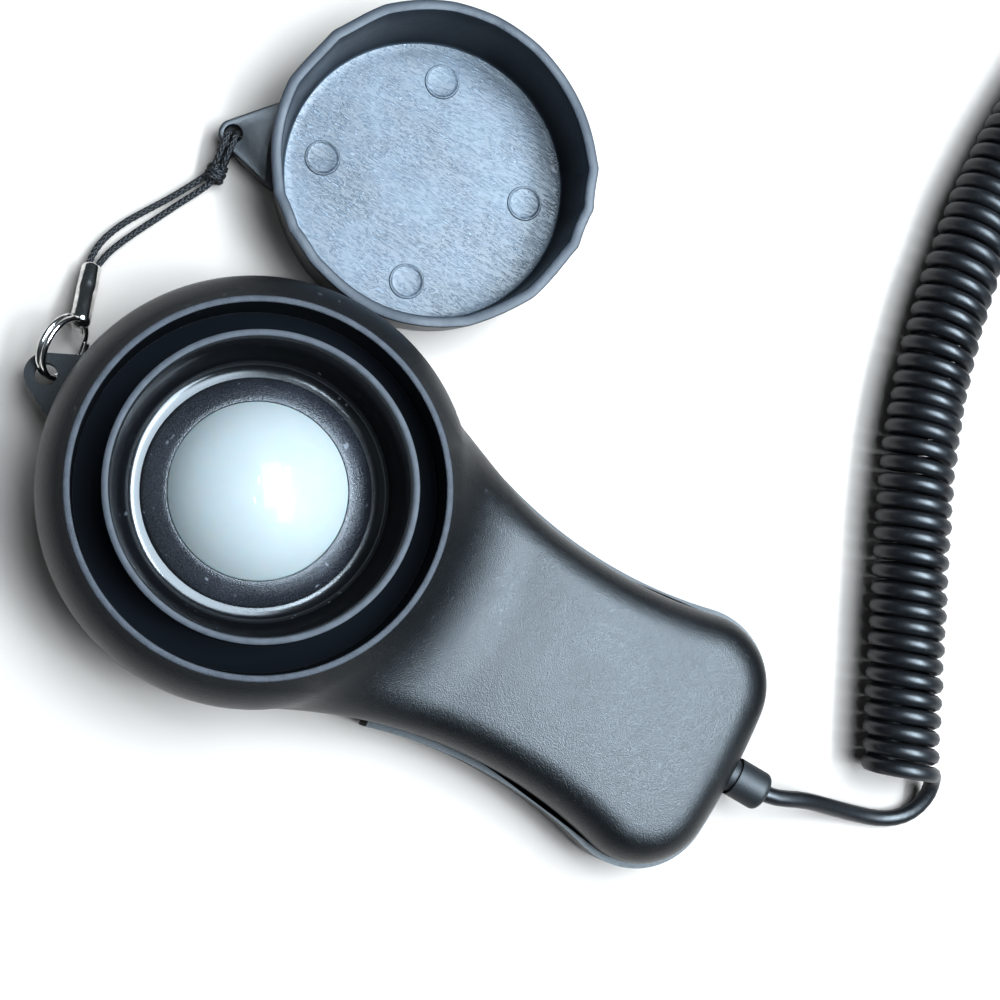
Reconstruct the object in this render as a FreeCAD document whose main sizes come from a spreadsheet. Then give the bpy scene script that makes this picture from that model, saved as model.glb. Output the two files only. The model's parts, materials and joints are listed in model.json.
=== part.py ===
"""Handheld light-meter sensor head: opal dome in a round head, waisted grip, curly lead, tethered cap.

Frame in millimetres: the origin is on the flat rear face under the dome's centre, +Z is the dome's
optical axis, +X runs along the grip to the cable gland and the cap lies on the +Y side.
"""
import FreeCAD, Part
import math
import os
import Sketcher
from FreeCAD import Rotation, Vector

os.makedirs("parts", exist_ok=True)
doc = FreeCAD.newDocument("light_sensor")

# ---------------------------------------------------------------- driving dimensions
SIZES = {
    # planform shared by the front shell, the rear shell and the grip cover
    "head_radius": 30.0,
    "waist_arc": 69.0,
    "waist_place": 49.5,
    "corner_arc": 10.5,
    "end_arc": 110.0,
    "end_place": 80.5,
    "wall": 2.2,
    "rear_inset": 0.4,
    "cover_step": 0.9,
    "split_place": 30.0,
    "joint_gap": 0.1,
    # levels of the shells
    "parting_level": 8.5,
    "floor_wall": 2.0,
    "rear_round": 2.5,
    "cover_round": 1.6,
    "shoulder_level": 15.0,
    "shoulder_arc": 8.6,
    "lip_level": 22.0,
    "lip_radius": 26.1,
    "lip_width": 1.0,
    "seat_level": 14.6,
    "seat_wall": 1.6,
    "head_bore": 19.6,
    "crown_stock": 19.0,
    "crown_place": 54.0,
    "crown_level": 16.8,
    "crown_arc": 240.0,
    "crown_round": 4.5,
    "roof_level": 13.2,
    # optical stack
    "bezel_radius": 21.2,
    "bezel_level": 24.1,
    "bezel_lip": 1.0,
    "bowl_arc": 12.6,
    "gutter_radius": 16.2,
    "gutter_level": 13.4,
    "shelf_wall": 1.6,
    "shelf_bore": 11.6,
    "spigot_gap": 0.1,
    "spigot_wall": 1.6,
    "spigot_level": 10.4,
    "lock_radius": 21.0,
    "lock_height": 2.3,
    "dome_radius": 12.35,
    "dome_flange": 13.6,
    "dome_flange_thickness": 0.8,
    "dome_shell": 1.6,
    "dome_spring_level": 15.9,
    "dome_top": 22.4,
    "gasket_thickness": 0.5,
    "seat_ring_edge": 13.9,
    "seat_ring_top": 15.9,
    "fit_gap": 0.1,
    "holder_radius": 11.3,
    "holder_bore": 8.2,
    "filter_radius": 9.4,
    "filter_thickness": 1.6,
    "holder_top": 12.9,
    # detector board
    "board_radius": 17.5,
    "board_level": 6.4,
    "board_thickness": 1.6,
    "diode_side": 9.8,
    "diode_height": 2.0,
    "header_length": 4.0,
    "header_width": 6.0,
    "header_height": 2.6,
    "header_x": 14.2,
    "header_y": 3.6,
    "edge_break": 0.15,
    "header_pin_offset": 1.4,
    "board_screw_circle": 14.2,
    "board_post_radius": 2.1,
    "board_screw_shank": 0.9,
    "board_screw_head": 1.8,
    "board_screw_head_height": 1.1,
    "board_screw_length": 3.4,
    # shell screws
    "boss_circle": 24.4,
    "boss_radius": 2.6,
    "post_radius": 3.2,
    "cover_post_x": 58.0,
    "cover_post_y": 9.0,
    "screw_shank": 1.25,
    "screw_hole": 1.35,
    "screw_head": 2.3,
    "screw_head_height": 1.5,
    "screw_well": 2.5,
    "screw_well_depth": 1.8,
    "screw_tip_level": 12.3,
    # strap lug
    "lug_reach": 3.5,
    "lug_tip": 3.0,
    "lug_root_place": 28.0,
    "lug_root_half": 6.3,
    "lug_level": 4.6,
    "lug_thickness": 2.0,
    "lug_hole": 1.6,
    # gland and lead
    "lead_radius": 1.25,
    "gland_bore": 1.3,
    "gland_neck": 2.5,
    "gland_hole": 2.6,
    "gland_flange": 3.8,
    "gland_flange_thickness": 1.9,
    "gland_nose": 2.95,
    "gland_nose_length": 5.3,
    "gland_nose_round": 1.0,
    "lead_start": 62.0,
    "clamp_place": 68.0,
    "clamp_length": 4.0,
    "clamp_width": 13.0,
    "clamp_top": 11.3,
    "clamp_screw_y": 4.2,
    "saddle_level": 7.2,
    "core_radius": 0.55,
    "core_offset": 0.65,
    "coil_radius": 6.0,
    # blank rating label under the grip
    "label_place": 56.0,
    "label_length": 30.0,
    "label_width": 12.0,
    "label_recess": 0.3,
    "label_thickness": 0.25,
    # dust cap
    "cap_x": -2.0,
    "cap_gap": 0.3,
    "cap_turn": 20.0,
    "cap_base_radius": 22.7,
    "cap_rim_radius": 24.2,
    "cap_height": 12.4,
    "cap_floor": 1.5,
    "cap_wall": 1.7,
    "cap_base_round": 1.2,
    "ejector_circle": 15.6,
    "ejector_radius": 2.5,
    "ejector_height": 0.25,
    "ear_place": 29.1,
    "ear_tip": 2.0,
    "ear_root_place": 20.0,
    "ear_root_half": 8.4,
    "ear_level": 1.9,
    "ear_thickness": 2.0,
    "ear_hole": 1.3,
    # tether
    "ring_radius": 4.6,
    "ring_wire": 0.65,
    "ring_lean": 28.0,
    "eye_radius": 1.35,
    "eye_wire": 0.45,
    "crimp_radius": 1.45,
    "crimp_start": 1.35,
    "crimp_length": 7.8,
    "strand_radius": 0.55,
    "loop_radius": 2.0,
    "knot_radius": 1.6,
    "knot_place": 6.15,
    "knot_level": 2.2,
    "strand_offset": 0.62,
    # plug
    "boot_radius": 2.2,
    "boot_length": 7.0,
    "grip_radius": 3.9,
    "grip_length": 16.0,
    "plug_radius": 1.75,
    "sleeve_length": 8.4,
    "plug_insulator_length": 0.8,
    "plug_tip_length": 4.8,
}

# Proportions of details within their own piece.
SLOT_LENGTH = 1.3       # screw recess over the head's radius
SLOT_WIDTH = 0.26       # screw recess over the head's radius
SLOT_DEPTH = 0.5        # screw recess over the head's height
ARC_SHARE = 0.45        # share of the shorter run that a cord's arc takes
GRIP_NECK = 0.82        # plug grip's neck over its radius
GRIP_NECK_LENGTH = 0.2  # plug grip's taper over its length
GRIP_FACE = 0.88        # plug grip's front face over its radius
TIP_COLLAR = 0.42       # place of the tip's waist over its length
TIP_SWELL = 0.22        # waist to widest place over the tip's length
TIP_WAIST = 0.66        # tip's waist over its radius
TIP_WIDE = 0.97         # widest part of the tip over its radius
TIP_POINT = 0.2         # flat end of the tip over its radius
KNOT_TURN = 277         # degrees, way from the ear's hole to the knot


class Size:
    """A sheet value with the expression that names it, so sums of sizes stay bound to the sheet."""

    def __init__(self, text, value):
        self.text = text
        self.value = value

    def __add__(self, other):
        return combine(self, other, "+", self.value + number(other))

    def __sub__(self, other):
        return combine(self, other, "-", self.value - number(other))

    def __mul__(self, other):
        return combine(self, other, "*", self.value * number(other))

    def __truediv__(self, other):
        return combine(self, other, "/", self.value / number(other))

    def __neg__(self):
        return self * -1.0


def number(item):
    return item.value if isinstance(item, Size) else float(item)


def combine(left, right, sign, value):
    right_text = right.text if isinstance(right, Size) else f"({right})"
    return Size(f"({left.text} {sign} {right_text})", value)


def root(size):
    return Size(f"sqrt({size.text})", math.sqrt(size.value))


def cosine(degrees):
    return Size(f"cos({degrees} deg)", math.cos(math.radians(degrees)))


def sine(degrees):
    return Size(f"sin({degrees} deg)", math.sin(math.radians(degrees)))


sheet = doc.addObject("Spreadsheet::Sheet", "Sizes")
for row, (name, value) in enumerate(SIZES.items(), start=1):
    sheet.set(f"A{row}", name)
    sheet.set(f"B{row}", str(value))
    sheet.setAlias(f"B{row}", name)
doc.recompute()


class Sheet:
    """Sizes read by name: S.wall is the sheet's value with its expression."""

    def __getattr__(self, name):
        return Size(f"Sizes.{name}", SIZES[name])


S = Sheet()
ZERO = Size("0", 0.0)
NODES = []
lug_place = S.head_radius + S.lug_reach
cap_y = S.head_radius + S.cap_rim_radius + S.cap_gap

# ---------------------------------------------------------------- building helpers


def body(label):
    NODES.append(label)
    return doc.addObject("PartDesign::Body", label)


def sketch(owner, name, role, lift=ZERO):
    """A sketch on one of the body's own origin planes, lifted along that plane's normal."""
    new = owner.newObject("Sketcher::SketchObject", name)
    plane = [item for item in owner.Origin.OriginFeatures if item.Role == role][0]
    new.AttachmentSupport = [(plane, "")]
    new.MapMode = "FlatFace"
    new.AttachmentOffset = FreeCAD.Placement(Vector(0, 0, lift.value), Rotation())
    if lift is not ZERO:
        new.setExpression("AttachmentOffset.Base.z", lift.text)
    return new


def bind(target, kind, where, size):
    index = target.addConstraint(Sketcher.Constraint(kind, *where, size.value))
    target.setExpression(f"Constraints[{index}]", size.text)


def pin(target, geometry, end, x, y):
    """Hold one point of a sketch at two sheet sizes."""
    if x.value == 0:
        target.addConstraint(Sketcher.Constraint("PointOnObject", geometry, end, -2))
    else:
        bind(target, "DistanceX", (-1, 1, geometry, end), x)
    if y.value == 0:
        target.addConstraint(Sketcher.Constraint("PointOnObject", geometry, end, -1))
    else:
        bind(target, "DistanceY", (-1, 1, geometry, end), y)


def minor_arc(centre, start, stop):
    """The shorter arc about a centre, always drawn anticlockwise as a sketch keeps it."""
    first, last = start - centre, stop - centre
    low, high = math.atan2(first.y, first.x), math.atan2(last.y, last.x)
    if (high - low) % (2 * math.pi) > math.pi:
        low, high = high, low
    return Part.ArcOfCircle(Part.Circle(centre, Vector(0, 0, 1), first.Length), low, high)


def arc_between(start, stop, radius):
    """The arc of a signed radius from start to stop; a positive one bulges to the right of the way."""
    chord = stop - start
    left = Vector(-chord.y, chord.x, 0).normalize()
    depth = math.sqrt(radius ** 2 - (chord.Length / 2) ** 2)
    return minor_arc((start + stop) / 2 + left * math.copysign(depth, radius), start, stop)


def nearest_end(target, geometry, point):
    """The sketch point numbers of an arc: the end at a place first, then the other end."""
    start = target.Geometry[geometry].StartPoint
    return (1, 2) if (start - point).Length < 1e-6 else (2, 1)


def outline(target, corners):
    """A closed loop of corners (x, y), or (x, y, radius) where an arc leads to the next corner."""
    points = [Vector(corner[0].value, corner[1].value, 0) for corner in corners]
    count = len(corners)
    ends = []
    for index, corner in enumerate(corners):
        start, stop = points[index], points[(index + 1) % count]
        if len(corner) == 2:
            geometry = target.addGeometry(Part.LineSegment(start, stop))
            ends.append((geometry, 1, 2))
            continue
        geometry = target.addGeometry(arc_between(start, stop, corner[2].value))
        ends.append((geometry, *nearest_end(target, geometry, start)))
        radius = corner[2] if corner[2].value > 0 else -corner[2]
        bind(target, "Radius", (geometry,), radius)
    for index, corner in enumerate(corners):
        here, after = ends[index], ends[(index + 1) % count]
        target.addConstraint(Sketcher.Constraint("Coincident", here[0], here[2], after[0], after[1]))
        pin(target, here[0], here[1], corner[0], corner[1])


def rings(target, items):
    """Circles (x, y, radius) in a sketch."""
    for x, y, radius in items:
        circle = Part.Circle(Vector(x.value, y.value, 0), Vector(0, 0, 1), radius.value)
        geometry = target.addGeometry(circle)
        pin(target, geometry, 3, x, y)
        bind(target, "Radius", (geometry,), radius)


def grow(owner, kind, profile, length, reverse=False):
    """Pad or Pocket a sketch by a sheet length."""
    feature = owner.newObject(f"PartDesign::{kind}", f"{owner.Name}_{kind.lower()}")
    feature.Profile = profile
    feature.Length = abs(length.value)
    feature.setExpression("Length", length.text)
    feature.Reversed = reverse
    doc.recompute()
    return feature


def spin(owner, kind, profile):
    """Revolution or Groove of a sketch about its own vertical axis."""
    feature = owner.newObject(f"PartDesign::{kind}", f"{owner.Name}_{kind.lower()}")
    feature.Profile = profile
    feature.ReferenceAxis = (profile, ["V_Axis"])
    feature.Angle = 360.0
    doc.recompute()
    return feature


def soften(owner, radius, wanted, kind="Fillet"):
    """Fillet or Chamfer every edge that the test wants."""
    base = owner.Tip
    names = [f"Edge{i}" for i, edge in enumerate(base.Shape.Edges, start=1) if wanted(edge)]
    feature = owner.newObject(f"PartDesign::{kind}", f"{owner.Name}_{kind.lower()}")
    feature.Base = (base, names)
    size_name = "Radius" if kind == "Fillet" else "Size"
    feature.setExpression(size_name, radius.text)
    doc.recompute()
    return feature


def turned(label, corners):
    """A piece turned about its own Z axis from a profile of (radius, height) corners."""
    piece = body(label)
    profile = sketch(piece, f"{label}_profile", "XZ_Plane")
    outline(profile, corners)
    spin(piece, "Revolution", profile)
    return piece


def place(piece, x, y, z, turn=None):
    """Put a piece at sheet sizes, turned first if a rotation is given."""
    if turn is not None:
        piece.Placement = FreeCAD.Placement(Vector(), turn)
    for axis, size in zip("xyz", (x, y, z)):
        piece.setExpression(f"Placement.Base.{axis}", size.text)


# ---------------------------------------------------------------- planform

WAIST_Y = root((S.head_radius + S.waist_arc) * (S.head_radius + S.waist_arc)
               - S.waist_place * S.waist_place)


def tangent_x(inset):
    """Where the head circle meets the waist arc, for an outline inset from the planform."""
    return S.waist_place * (S.head_radius - inset) / (S.head_radius + S.waist_arc)


def waist_side(x, inset):
    """Half width of the waist at x, for an outline inset from the planform."""
    reach = S.waist_arc + inset
    across = x - S.waist_place
    return WAIST_Y - root(reach * reach - across * across)


def corner_centre(inset):
    """Centre of the end corner: outside the waist arc and inside the end arc."""
    waist = Vector(S.waist_place.value, WAIST_Y.value, 0)
    end = Vector(S.end_place.value - S.end_arc.value, 0, 0)
    corner = S.corner_arc.value - inset
    from_waist = S.waist_arc.value + inset + corner
    from_end = S.end_arc.value - inset - corner
    apart = (end - waist).Length
    along = (from_waist ** 2 - from_end ** 2 + apart ** 2) / (2 * apart)
    across = math.sqrt(from_waist ** 2 - along ** 2)
    way = (end - waist).normalize()
    return waist + way * along + Vector(-way.y, way.x, 0) * across


def grip_outline(target, inset, start_x):
    """Waisted grip planform from start_x to the rounded end, tangent arcs all round."""
    waist = Vector(S.waist_place.value, WAIST_Y.value, 0)
    end = Vector(S.end_place.value - S.end_arc.value, 0, 0)
    corner = corner_centre(inset.value)
    waist_r = S.waist_arc.value + inset.value
    end_r = S.end_arc.value - inset.value
    side = Vector(start_x.value, waist_side(start_x, inset).value, 0)
    meet = waist + (corner - waist).normalize() * waist_r
    tip = end + (corner - end).normalize() * end_r

    def flip(point):
        return Vector(point.x, -point.y, 0)

    line = target.addGeometry(Part.LineSegment(side, flip(side)))
    pin(target, line, 1, start_x, waist_side(start_x, inset))
    pin(target, line, 2, start_x, -waist_side(start_x, inset))
    front = target.addGeometry(minor_arc(end, flip(tip), tip))
    pin(target, front, 3, S.end_place - S.end_arc, ZERO)
    bind(target, "Radius", (front,), S.end_arc - inset)
    for mirror, line_end in ((False, 1), (True, 2)):
        turn = flip if mirror else Vector
        hip = target.addGeometry(minor_arc(turn(waist), turn(side), turn(meet)))
        toe = target.addGeometry(minor_arc(turn(corner), turn(meet), turn(tip)))
        bind(target, "Radius", (hip,), S.waist_arc + inset)
        bind(target, "Radius", (toe,), S.corner_arc - inset)
        bind(target, "DistanceX", (-1, 1, hip, 3), S.waist_place)
        hip_near, hip_far = nearest_end(target, hip, turn(side))
        toe_near, toe_far = nearest_end(target, toe, turn(meet))
        front_end = nearest_end(target, front, turn(tip))[0]
        target.addConstraint(Sketcher.Constraint("Coincident", line, line_end, hip, hip_near))
        target.addConstraint(Sketcher.Constraint("Tangent", hip, hip_far, toe, toe_near))
        target.addConstraint(Sketcher.Constraint("Tangent", toe, toe_far, front, front_end))


def head_outline(target, inset, stop_x):
    """Planform of the head and the start of the waist, cut square at stop_x."""
    reach = S.waist_arc + inset
    circle = S.head_radius - inset
    start_x = tangent_x(inset)
    low, high = waist_side(start_x, inset), waist_side(stop_x, inset)
    outline(target, [
        (start_x, -low, -reach), (stop_x, -high), (stop_x, high, -reach),
        (start_x, low, circle), (-circle, ZERO, circle),
    ])


# ---------------------------------------------------------------- shell screws' places

HEAD_BOSS_ANGLES = (55, 180, 305)
HEAD_BOSSES = [(S.boss_circle * cosine(a), S.boss_circle * sine(a)) for a in HEAD_BOSS_ANGLES]
COVER_BOSSES = [(S.cover_post_x, S.cover_post_y), (S.cover_post_x, -S.cover_post_y)]
BOARD_POSTS = [(S.board_screw_circle * cosine(a), S.board_screw_circle * sine(a)) for a in (90, 210, 330)]


def spots(places, radius):
    return [(x, y, radius) for x, y in places]


# ---------------------------------------------------------------- front shell

front = body("front_housing")
grip_plan = sketch(front, "grip_plan", "XY_Plane", S.parting_level)
grip_outline(grip_plan, ZERO, tangent_x(ZERO))
grow(front, "Pad", grip_plan, S.crown_stock - S.parting_level)

far_x = S.end_place + S.wall


def crown_height(x):
    """Level of the grip's arched top at x."""
    across = x - S.crown_place
    return S.crown_level - S.crown_arc + root(S.crown_arc * S.crown_arc - across * across)


crown = sketch(front, "crown_side", "XZ_Plane")
outline(crown, [
    (ZERO, crown_height(ZERO), -S.crown_arc), (far_x, crown_height(far_x)),
    (far_x, S.crown_stock + S.wall), (ZERO, S.crown_stock + S.wall),
])
crown_cut = grow(front, "Pocket", crown, S.head_radius * 2)
crown_cut.Midplane = True
doc.recompute()


def on_crown_edge(edge):
    box = edge.BoundBox
    return box.XMax > S.head_radius.value + 1 and box.ZMin > S.seat_level.value - S.wall.value


soften(front, S.crown_round, on_crown_edge)

shoulder = sketch(front, "shoulder_side", "XZ_Plane")
outline(shoulder, [
    (ZERO, S.parting_level), (S.head_radius, S.parting_level),
    (S.head_radius, S.shoulder_level, S.shoulder_arc), (S.lip_radius, S.lip_level), (ZERO, S.lip_level),
])
spin(front, "Revolution", shoulder)

inner_radius = S.head_radius - S.wall
lip_bore = S.lip_radius - S.lip_width
seat_under = S.seat_level - S.seat_wall
hollow = sketch(front, "head_hollow", "XZ_Plane")
outline(hollow, [
    (ZERO, S.parting_level - S.wall), (inner_radius, S.parting_level - S.wall),
    (inner_radius, seat_under), (ZERO, seat_under),
])
spin(front, "Groove", hollow)

seat = sketch(front, "cap_seat", "XZ_Plane")
outline(seat, [
    (ZERO, seat_under - S.wall), (S.head_bore, seat_under - S.wall), (S.head_bore, S.seat_level),
    (lip_bore, S.seat_level), (lip_bore, S.lip_level + S.wall), (ZERO, S.lip_level + S.wall),
])
spin(front, "Groove", seat)

grip_hollow = sketch(front, "grip_hollow", "XY_Plane", S.parting_level)
grip_outline(grip_hollow, S.wall, tangent_x(S.wall))
grow(front, "Pocket", grip_hollow, S.roof_level - S.parting_level, reverse=True)

front_bosses = sketch(front, "front_bosses", "XY_Plane", S.parting_level)
rings(front_bosses, spots(HEAD_BOSSES + COVER_BOSSES, S.boss_radius))
grow(front, "Pad", front_bosses, S.roof_level - S.parting_level + S.fit_gap)

front_holes = sketch(front, "front_holes", "XY_Plane", S.parting_level)
rings(front_holes, spots(HEAD_BOSSES + COVER_BOSSES, S.screw_hole))
grow(front, "Pocket", front_holes, S.screw_tip_level - S.parting_level + S.fit_gap, reverse=True)


def gland_notch(owner):
    """Half of the round hole in the end wall that holds the gland's neck."""
    notch = sketch(owner, f"{owner.Name}_gland_notch", "YZ_Plane", S.end_place - S.wall * 2)
    rings(notch, [(ZERO, S.parting_level, S.gland_hole)])
    grow(owner, "Pocket", notch, S.wall * 3, reverse=True)


gland_notch(front)

# ---------------------------------------------------------------- rear shell with its strap lug

rear = body("rear_housing")
neck_end = S.split_place - S.joint_gap
rear_plan = sketch(rear, "rear_plan", "XY_Plane")
head_outline(rear_plan, S.rear_inset, neck_end)
grow(rear, "Pad", rear_plan, S.parting_level)


def on_rear_edge(edge):
    box = edge.BoundBox
    return box.ZMax < 0.01 and box.XLength > 1.0


soften(rear, S.rear_round, on_rear_edge)

rear_hollow = sketch(rear, "rear_hollow", "XY_Plane", S.floor_wall)
head_outline(rear_hollow, S.wall, neck_end + S.wall)
grow(rear, "Pocket", rear_hollow, S.parting_level, reverse=True)

lug = sketch(rear, "strap_lug", "XY_Plane", S.lug_level)


def ear(target, place_x, tip, root_x, root_half):
    """A tapered ear towards -X: straight sides from the root, tangent to a round tip."""
    centre = Vector(-place_x.value, 0, 0)
    roots = [Vector(-root_x.value, side * root_half.value, 0) for side in (1, -1)]
    reach = (roots[0] - centre).Length
    lean = math.atan2(root_half.value, place_x.value - root_x.value)
    swing = lean + math.acos(tip.value / reach)
    touch = [centre + Vector(math.cos(swing), side * math.sin(swing), 0) * tip.value for side in (1, -1)]
    top = target.addGeometry(Part.LineSegment(roots[0], touch[0]))
    nose = target.addGeometry(Part.Arc(touch[0], centre - Vector(tip.value, 0, 0), touch[1]))
    low = target.addGeometry(Part.LineSegment(touch[1], roots[1]))
    base = target.addGeometry(Part.LineSegment(roots[1], roots[0]))
    pin(target, top, 1, -root_x, root_half)
    pin(target, base, 1, -root_x, -root_half)
    pin(target, nose, 3, -place_x, ZERO)
    bind(target, "Radius", (nose,), tip)
    near, far = nearest_end(target, nose, touch[0])
    target.addConstraint(Sketcher.Constraint("Tangent", top, 2, nose, near))
    target.addConstraint(Sketcher.Constraint("Tangent", nose, far, low, 1))
    target.addConstraint(Sketcher.Constraint("Coincident", low, 2, base, 1))
    target.addConstraint(Sketcher.Constraint("Coincident", base, 2, top, 1))


ear(lug, lug_place, S.lug_tip, S.lug_root_place, S.lug_root_half)
grow(rear, "Pad", lug, S.lug_thickness)
lug_bore = sketch(rear, "lug_bore", "XY_Plane", S.lug_level)
rings(lug_bore, [(-lug_place, ZERO, S.lug_hole)])
grow(rear, "Pocket", lug_bore, S.lug_thickness, reverse=True)


def posts(owner, name, places, radius, top):
    base = sketch(owner, name, "XY_Plane", S.floor_wall - S.fit_gap)
    rings(base, spots(places, radius))
    grow(owner, "Pad", base, top - S.floor_wall + S.fit_gap)


def screw_wells(owner, places, depth):
    """Clearance holes right through the posts, and wells for the screw heads in the rear face."""
    through = sketch(owner, f"{owner.Name}_through", "XY_Plane")
    rings(through, spots(places, S.screw_hole))
    grow(owner, "Pocket", through, depth, reverse=True)
    wells = sketch(owner, f"{owner.Name}_wells", "XY_Plane")
    rings(wells, spots(places, S.screw_well))
    grow(owner, "Pocket", wells, S.screw_well_depth, reverse=True)


posts(rear, "rear_posts", HEAD_BOSSES, S.post_radius, S.parting_level - S.joint_gap)
screw_wells(rear, HEAD_BOSSES, S.parting_level)
posts(rear, "board_posts", BOARD_POSTS, S.board_post_radius, S.board_level)
board_pilots = sketch(rear, "board_pilots", "XY_Plane", S.floor_wall)
rings(board_pilots, spots(BOARD_POSTS, S.board_screw_shank + S.fit_gap))
grow(rear, "Pocket", board_pilots, S.parting_level, reverse=True)

# ---------------------------------------------------------------- rear cover of the grip

cover = body("grip_cover")
cover_start = S.split_place + S.joint_gap
cover_plan = sketch(cover, "cover_plan", "XY_Plane")
grip_outline(cover_plan, -S.cover_step, cover_start)
grow(cover, "Pad", cover_plan, S.parting_level - S.joint_gap)
soften(cover, S.cover_round, lambda edge: edge.BoundBox.ZMax < 0.01 and edge.BoundBox.XLength > 0.3)
cover_hollow = sketch(cover, "cover_hollow", "XY_Plane", S.floor_wall)
grip_outline(cover_hollow, S.wall, cover_start - S.wall)
grow(cover, "Pocket", cover_hollow, S.parting_level, reverse=True)
posts(cover, "cover_posts", COVER_BOSSES, S.post_radius, S.parting_level - S.joint_gap)
screw_wells(cover, COVER_BOSSES, S.parting_level)

half_clamp = S.clamp_length / 2
half_width = S.clamp_width / 2
saddle = sketch(cover, "clamp_saddle", "XY_Plane", S.floor_wall - S.fit_gap)
outline(saddle, [
    (S.clamp_place - half_clamp, -half_width), (S.clamp_place + half_clamp, -half_width),
    (S.clamp_place + half_clamp, half_width), (S.clamp_place - half_clamp, half_width),
])
grow(cover, "Pad", saddle, S.saddle_level - S.floor_wall + S.fit_gap)
CLAMP_SCREWS = [(S.clamp_place, S.clamp_screw_y), (S.clamp_place, -S.clamp_screw_y)]
clamp_pilots = sketch(cover, "clamp_pilots", "XY_Plane", S.floor_wall + S.wall / 2)
rings(clamp_pilots, spots(CLAMP_SCREWS, S.board_screw_shank + S.fit_gap))
grow(cover, "Pocket", clamp_pilots, S.parting_level, reverse=True)
gland_notch(cover)


def label_corners(grow_by):
    half_length = S.label_length / 2 + grow_by
    half_height = S.label_width / 2 + grow_by
    return [
        (S.label_place - half_length, -half_height), (S.label_place + half_length, -half_height),
        (S.label_place + half_length, half_height), (S.label_place - half_length, half_height),
    ]


label_seat = sketch(cover, "label_seat", "XY_Plane")
outline(label_seat, label_corners(S.fit_gap))
grow(cover, "Pocket", label_seat, S.label_recess, reverse=True)

label = body("rear_label")
label_plan = sketch(label, "label_plan", "XY_Plane", S.label_recess - S.label_thickness)
outline(label_plan, label_corners(ZERO))
grow(label, "Pad", label_plan, S.label_thickness)

# ---------------------------------------------------------------- optical stack

bezel_bore = S.bezel_radius - S.bezel_lip
spigot_radius = S.head_bore - S.spigot_gap
shelf_under = S.gutter_level - S.shelf_wall
turned("bezel_bowl", [
    (S.shelf_bore, shelf_under), (spigot_radius - S.spigot_wall, shelf_under),
    (spigot_radius - S.spigot_wall, S.spigot_level), (spigot_radius, S.spigot_level),
    (spigot_radius, S.seat_level), (S.bezel_radius, S.seat_level), (S.bezel_radius, S.bezel_level),
    (bezel_bore, S.bezel_level, -S.bowl_arc), (S.gutter_radius, S.gutter_level),
    (S.shelf_bore, S.gutter_level),
])

turned("bezel_lock_ring", [
    (spigot_radius + S.fit_gap / 2, seat_under - S.lock_height), (S.lock_radius, seat_under - S.lock_height),
    (S.lock_radius, seat_under), (spigot_radius + S.fit_gap / 2, seat_under),
])

flange_level = S.gutter_level + S.gasket_thickness
flange_top = flange_level + S.dome_flange_thickness
dome_bore = S.dome_radius - S.dome_shell


def crown_radius(half_width, rise):
    """Radius of the round top that springs from a half width and rises to the axis."""
    return (half_width * half_width + rise * rise) / (rise * 2)


outer_arc = crown_radius(S.dome_radius, S.dome_top - S.dome_spring_level)
inner_arc = crown_radius(dome_bore, S.dome_top - S.dome_shell - S.dome_spring_level)
turned("dome_diffuser", [
    (dome_bore, flange_level), (S.dome_flange, flange_level), (S.dome_flange, flange_top),
    (S.dome_radius, flange_top), (S.dome_radius, S.dome_spring_level, outer_arc),
    (ZERO, S.dome_top), (ZERO, S.dome_top - S.dome_shell, -inner_arc),
    (dome_bore, S.dome_spring_level),
])

turned("dome_gasket", [
    (S.shelf_bore, S.gutter_level), (S.dome_flange, S.gutter_level),
    (S.dome_flange, flange_level), (S.shelf_bore, flange_level),
])

seat_outer = S.gutter_radius - S.fit_gap
seat_inner = S.dome_radius + S.fit_gap
turned("seat_ring", [
    (S.dome_flange + S.fit_gap, S.gutter_level), (seat_outer, S.gutter_level),
    (seat_outer, S.seat_ring_edge), (seat_inner + S.fit_gap, S.seat_ring_top),
    (seat_inner, S.seat_ring_top), (seat_inner, flange_top), (S.dome_flange + S.fit_gap, flange_top),
])

board_top = S.board_level + S.board_thickness
filter_level = S.holder_top - S.filter_thickness
turned("filter_holder", [
    (S.holder_bore, board_top), (S.holder_radius, board_top), (S.holder_radius, S.holder_top),
    (S.filter_radius + S.fit_gap, S.holder_top), (S.filter_radius + S.fit_gap, filter_level),
    (S.holder_bore, filter_level),
])

turned("photopic_filter", [
    (ZERO, filter_level), (S.filter_radius, filter_level), (S.filter_radius, S.holder_top),
    (ZERO, S.holder_top),
])

# ---------------------------------------------------------------- detector board

board = body("detector_board")
board_plan = sketch(board, "board_plan", "XY_Plane", S.board_level)
rings(board_plan, [(ZERO, ZERO, S.board_radius)] + spots(BOARD_POSTS, S.board_screw_shank + S.fit_gap))
grow(board, "Pad", board_plan, S.board_thickness)


def block(label, centre_x, centre_y, bottom, length, width, height):
    """A plain box about a centre, with its edges broken."""
    NODES.append(label)
    box = doc.addObject("Part::Box", f"{label}_stock")
    for name, size in (("Length", length), ("Width", width), ("Height", height)):
        box.setExpression(name, size.text)
    place(box, centre_x - length / 2, centre_y - width / 2, bottom)
    doc.recompute()
    piece = doc.addObject("Part::Chamfer", label)
    piece.Base = box
    cut = SIZES["edge_break"]
    piece.Edges = [(i, cut, cut) for i, edge in enumerate(box.Shape.Edges, 1)
                   if edge.BoundBox.ZMin > bottom.value + height.value / 2]
    return piece


block("photodiode", ZERO, ZERO, board_top, S.diode_side, S.diode_side, S.diode_height)
block("board_header", S.header_x, S.header_y, board_top, S.header_length, S.header_width, S.header_height)


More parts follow.
